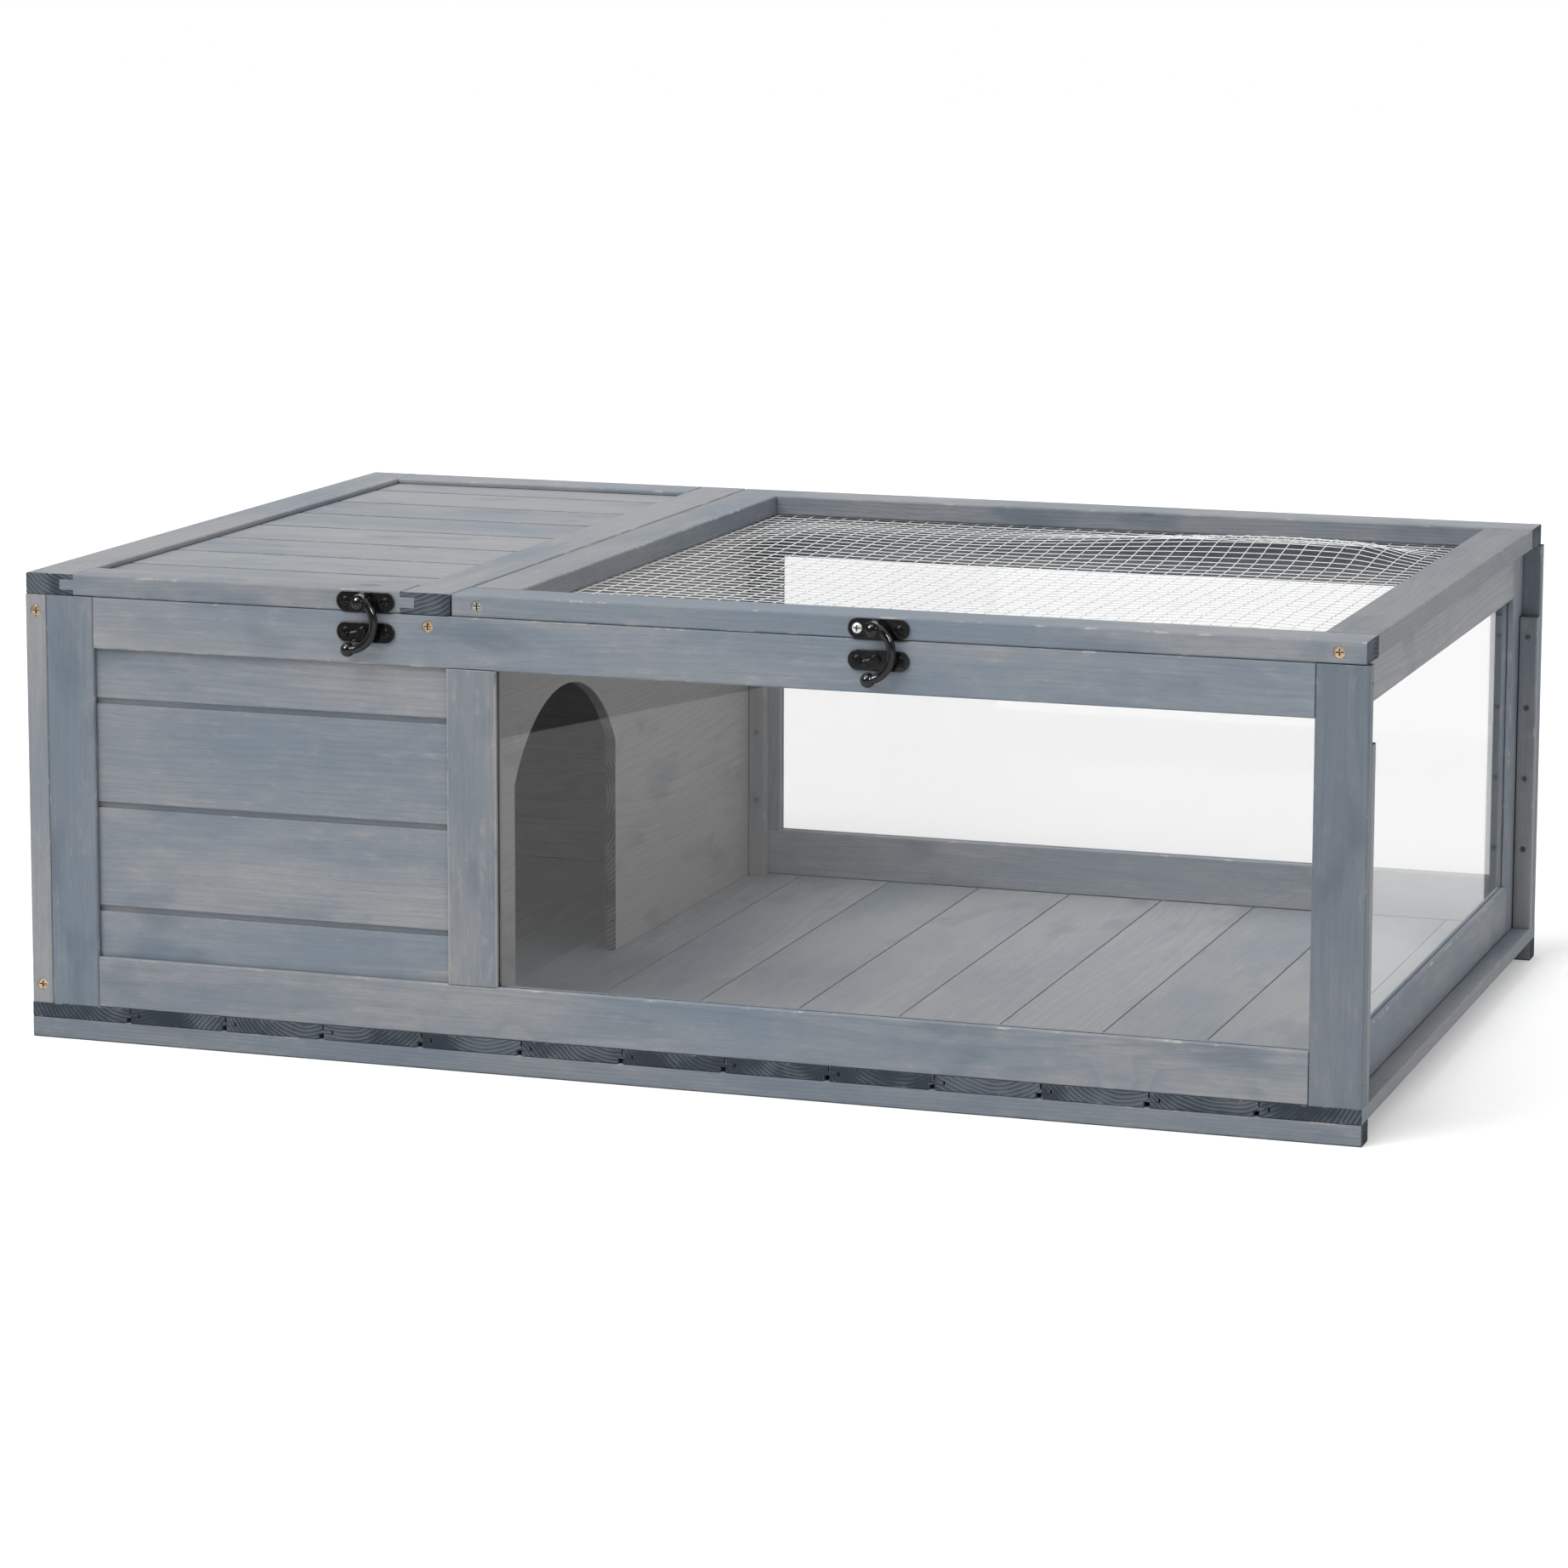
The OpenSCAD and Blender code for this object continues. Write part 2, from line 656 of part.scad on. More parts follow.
// welded mesh under the frame: one layer of wires each way, laid inside the walls
mesh_low = [divider_face_x + mesh_play, wall_t + mesh_play];
mesh_high = [right_wall_x - mesh_play, body_d - wall_t - mesh_play];
mesh_size = mesh_high - mesh_low;
layer_play = 0.02;
function wire_count(room) = floor((room - wire_t)/mesh_pitch) + 1;
function wire_at(low, room, i) =
    low + (room - wire_t - (wire_count(room) - 1)*mesh_pitch)/2 + i*mesh_pitch;
module wire_mesh() color(zinc) place() {
    for (i = [0:wire_count(mesh_size[0]) - 1])
        translate([wire_at(mesh_low[0], mesh_size[0], i), mesh_low[1], lid_z - wire_t - layer_play])
            cube([wire_t, mesh_size[1], wire_t]);
    for (i = [0:wire_count(mesh_size[1]) - 1])
        translate([mesh_low[0], wire_at(mesh_low[1], mesh_size[1], i), lid_z - 2*wire_t - 2*layer_play])
            cube([mesh_size[0], wire_t, wire_t]);
}

// ---- swing hooks: drawn looking at the front, with +Z towards the viewer ----

module at_pivot(x, z) translate([x, 0, z]) face_front() children();
module plate_blank() difference() {
    linear_extrude(plate_t) union() {
        square([plate_l - plate_w, plate_w], center = true);
        for (side = [-1, 1]) translate([side*(plate_l - plate_w)/2, 0]) circle(plate_w/2);
    }
    for (side = [-1, 1]) translate([side*plate_screw_span/2, 0, -over])
        cylinder(plate_t + 2*over, r = small_screw_r + screw_play);
}
module hasp_plate() {
    rivet_z = hook_stand + root_t + rivet_gap;
    dome_r = (rivet_r^2 + rivet_t^2)/(2*rivet_t);
    translate([pivot_shift, 0, 0]) plate_blank();
    cylinder(hook_stand - stud_gap, r = boss_r);
    cylinder(rivet_z + rivet_t/2, r = pivot_r);
    intersection() {
        translate([0, 0, rivet_z + rivet_t - dome_r]) sphere(dome_r);
        translate([0, 0, rivet_z]) cylinder(rivet_t + over, r = rivet_r - rivet_trim);
    }
}
claw_turn = 12;
claw_drop = 0.8;
module catch_plate() {
    stud_h = hook_stand - stud_gap;
    translate([pivot_shift, 0, 0]) plate_blank();
    cylinder(stud_h, r = stud_r);
    rotate([0, 0, claw_turn]) translate([-claw_l, -claw_w/2, 0])
        cube([claw_l, claw_w, stud_h - claw_drop]);
}
module hook(turn) rotate([0, 0, turn]) difference() {
    union() {
        translate([0, 0, hook_stand]) cylinder(root_t, r = boss_r);
        translate([-bend_back, -bend_drop, rod_mid])
            rotate([0, 0, bend_start - bend_sweep]) {
                rotate_extrude(angle = bend_sweep) translate([hook_bend, 0]) circle(hook_r);
                translate([hook_bend, 0, 0]) sphere(ball_r);
            }
    }
    translate([0, 0, hook_stand - over]) cylinder(root_t + 2*over, r = pivot_r + pivot_play);
}
module roof_hasp_plate() color(black) place() at_pivot(roof_hook_x, hasp_z) hasp_plate();
module mesh_hasp_plate() color(black) place() at_pivot(mesh_hook_x, hasp_z) hasp_plate();
module roof_catch_plate() color(black) place() at_pivot(roof_hook_x, catch_z) catch_plate();
module mesh_catch_plate() color(black) place() at_pivot(mesh_hook_x, catch_z) catch_plate();
module roof_hook() color(black) place() at_pivot(roof_hook_x, hasp_z) hook(roof_hook_turn);
module mesh_hook() color(black) place() at_pivot(mesh_hook_x, hasp_z) hook(mesh_hook_turn);

// ---- hinges: drawn about the pin's axis, which runs along X ----

knuckle_l = (hinge_l - 2*knuckle_gap)/3;
press_play = 0.01;
module at_hinges(ends) for (x = hinge_places(ends)) translate([x, axis_y, axis_z]) children();
module knuckle(x, bore_r) translate([x, 0, 0]) rotate([0, 90, 0]) difference() {
    cylinder(knuckle_l, r = knuckle_r);
    translate([0, 0, -over]) cylinder(knuckle_l + 2*over, r = bore_r);
}
// a leaf above the axis, with one tab down to each of its knuckles
module leaf(starts, bore_r) {
    root = knuckle_r + leaf_clear;
    difference() {
        union() {
            translate([-hinge_l/2, -knuckle_r, root]) cube([hinge_l, leaf_t, leaf_h]);
            for (x = starts) translate([x, -knuckle_r, 0]) cube([knuckle_l, leaf_t, root + leaf_t]);
        }
        for (side = [-1, 1])
            translate([side*hinge_screw_dx, -knuckle_r, root + leaf_h/2]) rotate([90, 0, 0])
                translate([0, 0, -leaf_t - over])
                    cylinder(leaf_t + 2*over, r = small_screw_r + screw_play);
        for (x = starts) translate([x - over, 0, 0]) rotate([0, 90, 0])
            cylinder(knuckle_l + 2*over, r = (knuckle_r + bore_r)/2);
    }
    for (x = starts) knuckle(x, bore_r);
}
module lid_leaves(ends) at_hinges(ends) leaf([-knuckle_l/2], pin_r + pivot_play);
module body_leaves(ends) at_hinges(ends) mirror([0, 0, 1])
    leaf([-hinge_l/2, hinge_l/2 - knuckle_l], pin_r + press_play);
module roof_hinge_lid_leaves() color(zinc) place() lid_leaves(roof_ends);
module mesh_hinge_lid_leaves() color(zinc) place() lid_leaves(mesh_ends);
module roof_hinge_body_leaves() color(zinc) place() body_leaves(roof_ends);
module mesh_hinge_body_leaves() color(zinc) place() body_leaves(mesh_ends);
module hinge_pins() color(zinc) place()
    for (ends = [roof_ends, mesh_ends]) at_hinges(ends)
        translate([-hinge_l/2, 0, 0]) rotate([0, 90, 0]) cylinder(hinge_l, r = pin_r);

// ---- screws ----

module frame_screws() color(brass) place() {
    at_frame_screws() frame_screw();
    at_end_screws() end_screw();
}
module batten_screws() color(brass) place() at_batten_screws() batten_screw();
module mesh_frame_screws() color(brass) place() at_mesh_screws() frame_screw();
module body_fitting_screws() color(black) place() {
    for (x = [roof_hook_x, mesh_hook_x]) translate([0, -plate_t, 0])
        at_plate_screws(x, catch_z) domed_screw(hasp_head_r);
    for (ends = [roof_ends, mesh_ends]) translate([0, leaf_t, 0])
        at_hinge_screws(ends, body_leaf_screw_z) domed_screw(hinge_head_r);
}
module lid_fitting_screws(hook_x, ends) {
    translate([0, -plate_t, 0]) at_plate_screws(hook_x, hasp_z) domed_screw(hasp_head_r);
    translate([0, leaf_t, 0]) at_hinge_screws(ends, lid_leaf_screw_z) domed_screw(hinge_head_r);
}
module roof_fitting_screws() color(black) place() lid_fitting_screws(roof_hook_x, roof_ends);
module mesh_fitting_screws() color(black) place() lid_fitting_screws(mesh_hook_x, mesh_ends);

front_skid();
rear_skid();
floor_boards();
front_left_post();
front_middle_post();
front_right_post();
front_top_rail();
front_bottom_rail();
front_wall_boards();
front_window_pane();
rear_left_post();
rear_middle_post();
rear_right_post();
rear_top_rail();
rear_bottom_rail();
rear_wall_boards();
rear_window_pane();
left_front_stile();
left_rear_stile();
left_top_rail();
left_bottom_rail();
left_wall_boards();
right_front_stile();
right_rear_stile();
right_top_rail();
right_bottom_rail();
side_window_pane();
front_corner_batten();
rear_corner_batten();
divider();
divider_battens();
centre_beam();
roof_catch_plate();
mesh_catch_plate();
roof_hinge_body_leaves();
mesh_hinge_body_leaves();
frame_screws();
batten_screws();
body_fitting_screws();
roof_left_stile();
roof_right_stile();
roof_front_rail();
roof_rear_rail();
roof_boards();
roof_hasp_plate();
roof_hinge_lid_leaves();
roof_fitting_screws();
mesh_left_stile();
mesh_right_stile();
mesh_front_rail();
mesh_rear_rail();
wire_mesh();
mesh_hasp_plate();
mesh_hinge_lid_leaves();
mesh_frame_screws();
mesh_fitting_screws();
hinge_pins();
roof_hook();
mesh_hook();
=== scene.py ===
import math
import random

import bmesh
import bpy
from mathutils import Matrix, Vector


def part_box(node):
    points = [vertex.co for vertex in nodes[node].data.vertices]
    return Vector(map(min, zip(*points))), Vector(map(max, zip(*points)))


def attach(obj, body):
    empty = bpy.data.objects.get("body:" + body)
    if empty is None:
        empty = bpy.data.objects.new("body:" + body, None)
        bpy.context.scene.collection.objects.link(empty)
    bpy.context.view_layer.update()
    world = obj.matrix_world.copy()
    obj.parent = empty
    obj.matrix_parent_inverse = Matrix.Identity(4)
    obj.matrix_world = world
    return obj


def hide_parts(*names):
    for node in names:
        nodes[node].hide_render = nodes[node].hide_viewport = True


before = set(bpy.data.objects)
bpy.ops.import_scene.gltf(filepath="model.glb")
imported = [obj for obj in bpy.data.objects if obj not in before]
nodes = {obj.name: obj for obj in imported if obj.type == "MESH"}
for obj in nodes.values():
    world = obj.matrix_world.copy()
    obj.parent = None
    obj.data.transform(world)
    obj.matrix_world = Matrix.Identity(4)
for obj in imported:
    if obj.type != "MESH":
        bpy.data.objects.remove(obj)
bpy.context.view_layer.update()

# ---- Skids and frame ----
# The body is framed in planed fir, 34 mm wide, butted and screwed, and brushed with one thin coat
# of grey-blue stain. The stain lets the grain show, sinks in deeper round knots and at the end
# grain, and is rubbed thin along the edges.
X, Y, Z = Vector((1, 0, 0)), Vector((0, 1, 0)), Vector((0, 0, 1))
BLUE_STAIN = (0.196, 0.233, 0.275, 1)
GREY_STAIN = (0.315, 0.315, 0.322, 1)
SOAKED_STAIN = (0.105, 0.14, 0.18, 1)
RUBBED_STAIN = (0.5, 0.47, 0.43, 1)
# painted shade, laid in joints, grooves and crevices where the ambient occlusion finds them
PAINTED_JOINT_SHADE = (0.03, 0.035, 0.042, 1)
END_GRAIN = (0.03, 0.04, 0.052, 1)
END_RINGS = (0.165, 0.19, 0.215, 1)
RING_WIDTH = 0.0026
# the pith's place below the middle of the board, and how far chance moves it, in metres
PITH_PLACE, PITH_SPREAD = (0, -0.045, -0.062), (0, 0.09, 0.03)
# how far the log leans off straight, how far its rings wobble, and how often, per metre
LEAN, LEAN_SCALE = (0, 0.04, 0.024), (2.3, 3.0, 3.0)
WOBBLE, WOBBLE_SCALE = (0, 0.0022, 0.0022), (11, 70, 70)
# one knot in each cell: cells per metre, how large a cell is taken to be, and the knot's sizes
KNOT_CELLS, CELL_SIZE = (3.6, 10, 10), (0.2, 0.1, 0.1)
KNOT_EDGE, KNOT_CORE, KNOT_SWIRL, KNOT_PUSH = 0.007, 0.0035, 0.024, 0.006
# how sharply the dark wood of a ring ends, and how far the rings' widths drift
RING_EDGE, RING_DRIFT = 2.2, 2.2
# the masks of the wood: scale along and across the grain per metre, detail and roughness
WOOD_MASKS = (
    ("Fibre", (16, 680, 680), 2.0, 0.6),
    ("Pores", (150, 2300, 2300), 1.0, 0.5),
    ("Clouds", (3.8, 11, 11), 4.0, 0.55),
    ("Blots", (13, 27, 27), 3.0, 0.5),
    ("Streaks", (10, 190, 190), 3.0, 0.65),
    ("Specks", (55, 120, 120), 4.0, 0.7),
)
# how far clouds, chance, streaks and specks swing the stain between blue and grey
CLOUD_SWING, CHANCE_SWING, STREAK_SWING, SPECK_SWING = 2.6, 0.3, 0.5, 0.6
# how strongly the stain soaks into blots, fibres, pores and knots, and is rubbed off
BLOT_STAIN, FIBRE_STAIN, PORE_STAIN, KNOT_STAIN = 0.5, 0.18, 0.16, 0.7
FACE_RUB, ARRIS_RUB = 0.16, 0.65
# the least and how much more, by chance or mask: stain in the rings, tone, painted shade in a
# joint
RING_STAIN, TONE, PAINTED_SHADE_DARK = (0.08, 0.24), (0.96, 0.08), (0.4, 0.45)
# where specks lay an arris bare, and how much sooner on a worn piece
BARE_FROM, BARE_BY_WEAR = 0.71, 0.14
# the roughness of the stain, and what fibres, soaked spots and end grain add to it
DRY_STAIN, FIBRE_ROUGH, SOAKED_ROUGH, END_ROUGH = 0.48, 0.2, -0.06, 0.45
# how far rings and pores stand up, where fibres stand up by 1
RING_HEIGHT, PORE_HEIGHT = 0.5, 0.4
TIMBER_GLOSS = 0.35
ARRIS_RADIUS = 0.0012
GRAIN_DEPTH, GRAIN_RELIEF = 0.0004, 0.35
# how far apart in the log the wood of two pieces, and of two boards of one row, is taken from
PIECE_STEP, BOARD_STEP = 3.7, 1.37


def put(tree, kind, wires=None, **settings):
    """One node: its settings, and a value or a wire for each named socket."""
    node = tree.nodes.new("ShaderNode" + kind)
    for name, value in settings.items():
        setattr(node, name, value)
    for name, value in (wires or {}).items():
        if isinstance(value, bpy.types.NodeSocket):
            tree.links.new(value, node.inputs[name])
        else:
            node.inputs[name].default_value = value
    return node


def sum_up(tree, operation, *terms):
    """Arithmetic on two or three numbers or wires."""
    return put(tree, "Math", dict(enumerate(terms)), operation=operation).outputs[0]


def sum_vector(tree, operation, *terms):
    """Arithmetic on vectors."""
    node = put(tree, "VectorMath", dict(enumerate(terms)), operation=operation)
    return node.outputs["Value" if operation == "LENGTH" else "Vector"]


def ramp(tree, value, low, high):
    """0 at low, 1 at high, smooth between."""
    node = put(tree, "MapRange", {"Value": value, "From Min": low, "From Max": high})
    node.interpolation_type = "SMOOTHSTEP"
    return node.outputs["Result"]


def blend(tree, share, base, other, way="MIX"):
    """Colour base with other laid over it."""
    node = put(tree, "Mix", {0: share, 6: base, 7: other}, data_type="RGBA", blend_type=way)
    return node.outputs[2]


def clouds(tree, place, scale, detail=2.0, rough=0.5):
    """Noise from 0 to 1 with its own scale along each axis, per metre."""
    stretched = sum_vector(tree, "MULTIPLY", place, scale)
    wires = {"Vector": stretched, "Scale": 1.0, "Detail": detail, "Roughness": rough}
    return put(tree, "TexNoise", wires).outputs


def new_effect(name, inputs, outputs):
    """A shader node group with named sockets."""
    tree = bpy.data.node_groups.new(name, "ShaderNodeTree")
    for socket, kind, value in inputs:
        made = tree.interface.new_socket(socket, in_out="INPUT", socket_type=kind)
        if value is not None:
            made.default_value = value
    for socket, kind in outputs:
        tree.interface.new_socket(socket, in_out="OUTPUT", socket_type=kind)
    return tree, tree.nodes.new("NodeGroupInput").outputs, tree.nodes.new("NodeGroupOutput").inputs


def use_effect(tree, effect, wires):
    """Places a node group in a material."""
    node = tree.nodes.new("ShaderNodeGroup")
    node.node_tree = effect
    for name, value in wires.items():
        if isinstance(value, bpy.types.NodeSocket):
            tree.links.new(value, node.inputs[name])
        else:
            node.inputs[name].default_value = value
    return node.outputs


FLOAT, VECTOR, COLOUR = "NodeSocketFloat", "NodeSocketVector", "NodeSocketColor"

# Fir as it is sawn from the log: growth rings round a pith that lies outside the board, so that
# the ends show arcs and the faces show lines and long arches, with fibres, stain clouds and knots.
sawn_fir, given, out = new_effect(
    "sawn_fir",
    [("Place", VECTOR, None), ("Seed", FLOAT, 0.0), ("Ring Width", FLOAT, RING_WIDTH)],
    [("Latewood", FLOAT), ("Knot", FLOAT)] + [(mask[0], FLOAT) for mask in WOOD_MASKS],
)
t = sawn_fir
shift = put(t, "VectorMath", {0: (1.73, 3.19, 5.37), 3: given["Seed"]}, operation="SCALE")
spot = sum_vector(t, "ADD", given["Place"], shift.outputs[0])
lean = sum_vector(t, "SUBTRACT", clouds(t, spot, LEAN_SCALE, 1.0)["Color"], (0.5, 0.5, 0.5))
wobble = sum_vector(t, "SUBTRACT", clouds(t, spot, WOBBLE_SCALE)["Color"], (0.5, 0.5, 0.5))
chance = put(t, "TexWhiteNoise", {"W": given["Seed"]}, noise_dimensions="1D").outputs["Color"]
pith = sum_vector(t, "MULTIPLY_ADD", chance, PITH_SPREAD, PITH_PLACE)
bent = sum_vector(t, "MULTIPLY_ADD", lean, LEAN, given["Place"])
bent = sum_vector(t, "MULTIPLY_ADD", wobble, WOBBLE, bent)
cells = sum_vector(t, "MULTIPLY", spot, KNOT_CELLS)
nearest = put(t, "TexVoronoi", {"Vector": cells, "Scale": 1.0}).outputs
to_knot = sum_vector(t, "SUBTRACT", cells, nearest["Position"])
to_knot = sum_vector(t, "LENGTH", sum_vector(t, "MULTIPLY", to_knot, CELL_SIZE))
radius = sum_vector(t, "SUBTRACT", bent, pith)
radius = sum_vector(t, "LENGTH", sum_vector(t, "MULTIPLY", radius, (0, 1, 1)))
radius = sum_up(t, "MULTIPLY_ADD", ramp(t, to_knot, KNOT_SWIRL, 0.003), KNOT_PUSH, radius)
rings = sum_up(t, "DIVIDE", radius, given["Ring Width"])
rings = sum_up(t, "MULTIPLY_ADD", clouds(t, spot, (0.2, 30, 30), 1.0)[0], RING_DRIFT, rings)
within = sum_up(t, "FRACT", rings)
late = sum_up(t, "MULTIPLY", sum_up(t, "POWER", within, RING_EDGE), ramp(t, within, 1.0, 0.88))
t.links.new(late, out["Latewood"])
t.links.new(ramp(t, to_knot, KNOT_EDGE, KNOT_CORE), out["Knot"])
for mask, scale, detail, rough in WOOD_MASKS:
    t.links.new(clouds(t, spot, scale, detail, rough)[0], out[mask])

# A planed arris is never sharp: brush and hand take the stain thin along it. Where two pieces
# meet, and in grooves and under the lids, ambient occlusion gives a mask of painted shade.
soft_edge, given, out = new_effect(
    "soft_edge",
    [("Radius", FLOAT, 0.001), ("Reach", FLOAT, 0.003)],
    [("Worn", FLOAT), ("Painted Shade", FLOAT), ("Normal", VECTOR)],
)
t = soft_edge
rounded = put(t, "Bevel", {"Radius": given["Radius"]}, samples=6).outputs["Normal"]
true = put(t, "NewGeometry").outputs["Normal"]
along = put(t, "VectorMath", {0: rounded, 1: true}, operation="DOT_PRODUCT").outputs["Value"]
open_air = put(t, "AmbientOcclusion", {"Distance": given["Reach"]}, samples=6).outputs["AO"]
t.links.new(ramp(t, along, 0.99, 0.93), out["Worn"])
# the second mask is painted shade: it rises where nearby surfaces hide the sky
t.links.new(ramp(t, open_air, 0.72, 0.2), out["Painted Shade"])
t.links.new(rounded, out["Normal"])

# The stain on that wood.
stained_fir, given, out = new_effect(
    "stained_fir",
    [
        ("Place", VECTOR, None),
        ("Facing", VECTOR, None),
        ("Seed", FLOAT, 0.0),
        ("Greyness", FLOAT, 0.5),
        ("Tint", COLOUR, None),
        ("Worn", FLOAT, 0.0),
        ("Wear", FLOAT, 1.0),
        ("Painted Shade", FLOAT, 0.0),
    ],
    [("Color", COLOUR), ("Roughness", FLOAT), ("Height", FLOAT)],
)
t = stained_fir
wood = use_effect(t, sawn_fir, {"Place": given["Place"], "Seed": given["Seed"]})
chance = put(t, "TexWhiteNoise", {"W": given["Seed"]}, noise_dimensions="1D").outputs["Value"]
grey = given["Greyness"]
for mask, swing in (
    (wood["Clouds"], CLOUD_SWING),
    (chance, CHANCE_SWING),
    (wood["Streaks"], STREAK_SWING),
    (wood["Specks"], SPECK_SWING),
):
    grey = sum_up(t, "MULTIPLY_ADD", mask, swing, sum_up(t, "SUBTRACT", grey, swing / 2))
paint = blend(t, ramp(t, grey, 0.0, 1.0), BLUE_STAIN, GREY_STAIN)
soaked = ramp(t, wood["Blots"], 0.56, 0.72)
lines = sum_up(t, "MULTIPLY_ADD", chance, RING_STAIN[1], RING_STAIN[0])
rubbed = ramp(t, sum_up(t, "MULTIPLY_ADD", wood["Streaks"], 0.6, wood["Specks"]), 0.85, 1.15)
for mask, strength, stain in (
    (soaked, BLOT_STAIN, SOAKED_STAIN),
    (wood["Latewood"], lines, SOAKED_STAIN),
    (ramp(t, wood["Fibre"], 0.62, 0.3), FIBRE_STAIN, SOAKED_STAIN),
    (ramp(t, wood["Pores"], 0.6, 0.3), PORE_STAIN, SOAKED_STAIN),
    (rubbed, sum_up(t, "MULTIPLY", given["Wear"], FACE_RUB), RUBBED_STAIN),
    (wood["Knot"], KNOT_STAIN, SOAKED_STAIN),
):
    paint = blend(t, sum_up(t, "MULTIPLY", mask, strength), paint, stain)
# the ends of the piece face along the grain, and its chamfers along no axis
split = put(t, "SeparateXYZ", {0: sum_vector(t, "ABSOLUTE", given["Facing"])}).outputs
end = ramp(t, split[0], 0.75, 0.9)
flat = sum_up(t, "MAXIMUM", sum_up(t, "MAXIMUM", split[0], split[1]), split[2])
arris = sum_up(t, "MAXIMUM", given["Worn"], ramp(t, flat, 0.9, 0.8))
arcs = sum_up(t, "MULTIPLY", wood["Latewood"], ramp(t, wood["Blots"], 0.35, 0.6))
cut = blend(t, arcs, END_GRAIN, END_RINGS)
cut = blend(t, sum_up(t, "MULTIPLY", ramp(t, wood["Blots"], 0.45, 0.75), 0.4), cut, END_RINGS)
paint = blend(t, end, paint, cut)
bare = sum_up(t, "SUBTRACT", wood["Specks"], BARE_FROM)
bare = sum_up(t, "MULTIPLY_ADD", given["Wear"], BARE_BY_WEAR, bare)
bare = sum_up(t, "MULTIPLY", arris, ramp(t, bare, 0.0, 0.09))
bare = sum_up(t, "MULTIPLY", bare, sum_up(t, "SUBTRACT", 1.0, given["Painted Shade"]))
paint = blend(t, sum_up(t, "MULTIPLY", bare, ARRIS_RUB), paint, RUBBED_STAIN)
# painted shade in joints and crevices, darkest at the arrises and deep in the occlusion
dark = sum_up(t, "MAXIMUM", arris, ramp(t, given["Painted Shade"], 0.7, 1.0))
dark = sum_up(t, "MULTIPLY_ADD", dark, PAINTED_SHADE_DARK[1], PAINTED_SHADE_DARK[0])
paint = blend(t, sum_up(t, "MULTIPLY", given["Painted Shade"], dark), paint, PAINTED_JOINT_SHADE)
tone = sum_up(t, "MULTIPLY_ADD", chance, TONE[1], TONE[0])
shade = put(t, "CombineColor", {0: tone, 1: tone, 2: tone}).outputs[0]
paint = blend(t, 1.0, paint, shade, "MULTIPLY")
t.links.new(blend(t, 1.0, paint, given["Tint"], "MULTIPLY"), out["Color"])
rough = sum_up(t, "MULTIPLY_ADD", wood["Fibre"], FIBRE_ROUGH, DRY_STAIN)
rough = sum_up(t, "MULTIPLY_ADD", soaked, SOAKED_ROUGH, rough)
t.links.new(sum_up(t, "MULTIPLY_ADD", end, END_ROUGH, rough), out["Roughness"])
high = sum_up(t, "MULTIPLY_ADD", wood["Latewood"], RING_HEIGHT, wood["Fibre"])
t.links.new(sum_up(t, "MULTIPLY_ADD", wood["Pores"], PORE_HEIGHT, high), out["Height"])

# Boards side by side in one row: which board a point is on, and where on that board.
board_row, given, out = new_effect(
    "board_row",
    [
        ("Place", VECTOR, None),
        ("Seed", FLOAT, 0.0),
        ("First", FLOAT, 0.05),
        ("Pitch", FLOAT, 0.0695),
    ],
    [("Place", VECTOR), ("Seed", FLOAT)],
)
t = board_row
split = put(t, "SeparateXYZ", {0: given["Place"]}).outputs
index = sum_up(t, "DIVIDE", sum_up(t, "SUBTRACT", split[1], given["First"]), given["Pitch"])
index = sum_up(t, "MAXIMUM", sum_up(t, "ADD", sum_up(t, "FLOOR", index), 1.0), 0.0)
middle = sum_up(t, "SUBTRACT", index, 0.5)
middle = sum_up(t, "MULTIPLY_ADD", middle, given["Pitch"], given["First"])
across = sum_up(t, "SUBTRACT", split[1], middle)
t.links.new(put(t, "CombineXYZ", {0: split[0], 1: across, 2: split[2]}).outputs[0], out["Place"])
t.links.new(sum_up(t, "MULTIPLY_ADD", index, BOARD_STEP, given["Seed"]), out["Seed"])


def new_finish(name):
    """A material with its shader, and the tree and shader."""
    material = bpy.data.materials.new(name)
    material.use_nodes = True
    return material, material.node_tree, material.node_tree.nodes["Principled BSDF"]


def timber(node, along, across, greyness=0.5, lightness=1.0, wear=1.0, row=None, warmth=0.0):
    """Stains one piece of the frame, or a row of boards, with the grain along one axis; row gives
    the first board's width and the pitch of the others."""
    material, tree, shader = new_finish(node + "_wood")
    low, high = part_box(node)
    turn = Matrix((along, across, along.cross(across)))
    start = turn @ ((low + high) / 2)
    if row:
        start.y = min((turn @ low).y, (turn @ high).y)
    here = put(tree, "TexCoord").outputs
    angles = turn.to_euler()
    seed = PIECE_STEP * (len(bpy.data.materials) % 97)
    wires = {"Vector": here["Object"], "Location": -start, "Rotation": angles}
    place = put(tree, "Mapping", wires).outputs[0]
    wires = {"Vector": here["Normal"], "Rotation": angles}
    facing = put(tree, "Mapping", wires, vector_type="VECTOR").outputs[0]
    if row:
        wires = {"Place": place, "Seed": seed, "First": row[0], "Pitch": row[1]}
        place, seed = use_effect(tree, board_row, wires).values()
    edge = use_effect(tree, soft_edge, {"Radius": ARRIS_RADIUS})
    wires = {"Place": place, "Facing": facing, "Seed": seed, "Greyness": greyness}
    tint = (lightness * (1 + warmth), lightness, lightness * (1 - warmth), 1)
    wires |= {"Tint": tint, "Wear": wear, "Worn": edge["Worn"], "Painted Shade": edge["Painted Shade"]}
    stain = use_effect(tree, stained_fir, wires)
    wires = {"Strength": GRAIN_RELIEF, "Distance": GRAIN_DEPTH}
    wires |= {"Height": stain["Height"], "Normal": edge["Normal"]}
    relief = put(tree, "Bump", wires).outputs[0]
    tree.links.new(stain["Color"], shader.inputs["Base Color"])
    tree.links.new(stain["Roughness"], shader.inputs["Roughness"])
    tree.links.new(relief, shader.inputs["Normal"])
    shader.inputs["Specular IOR Level"].default_value = TIMBER_GLOSS
    nodes[node].data.materials.clear()
    nodes[node].data.materials.append(material)


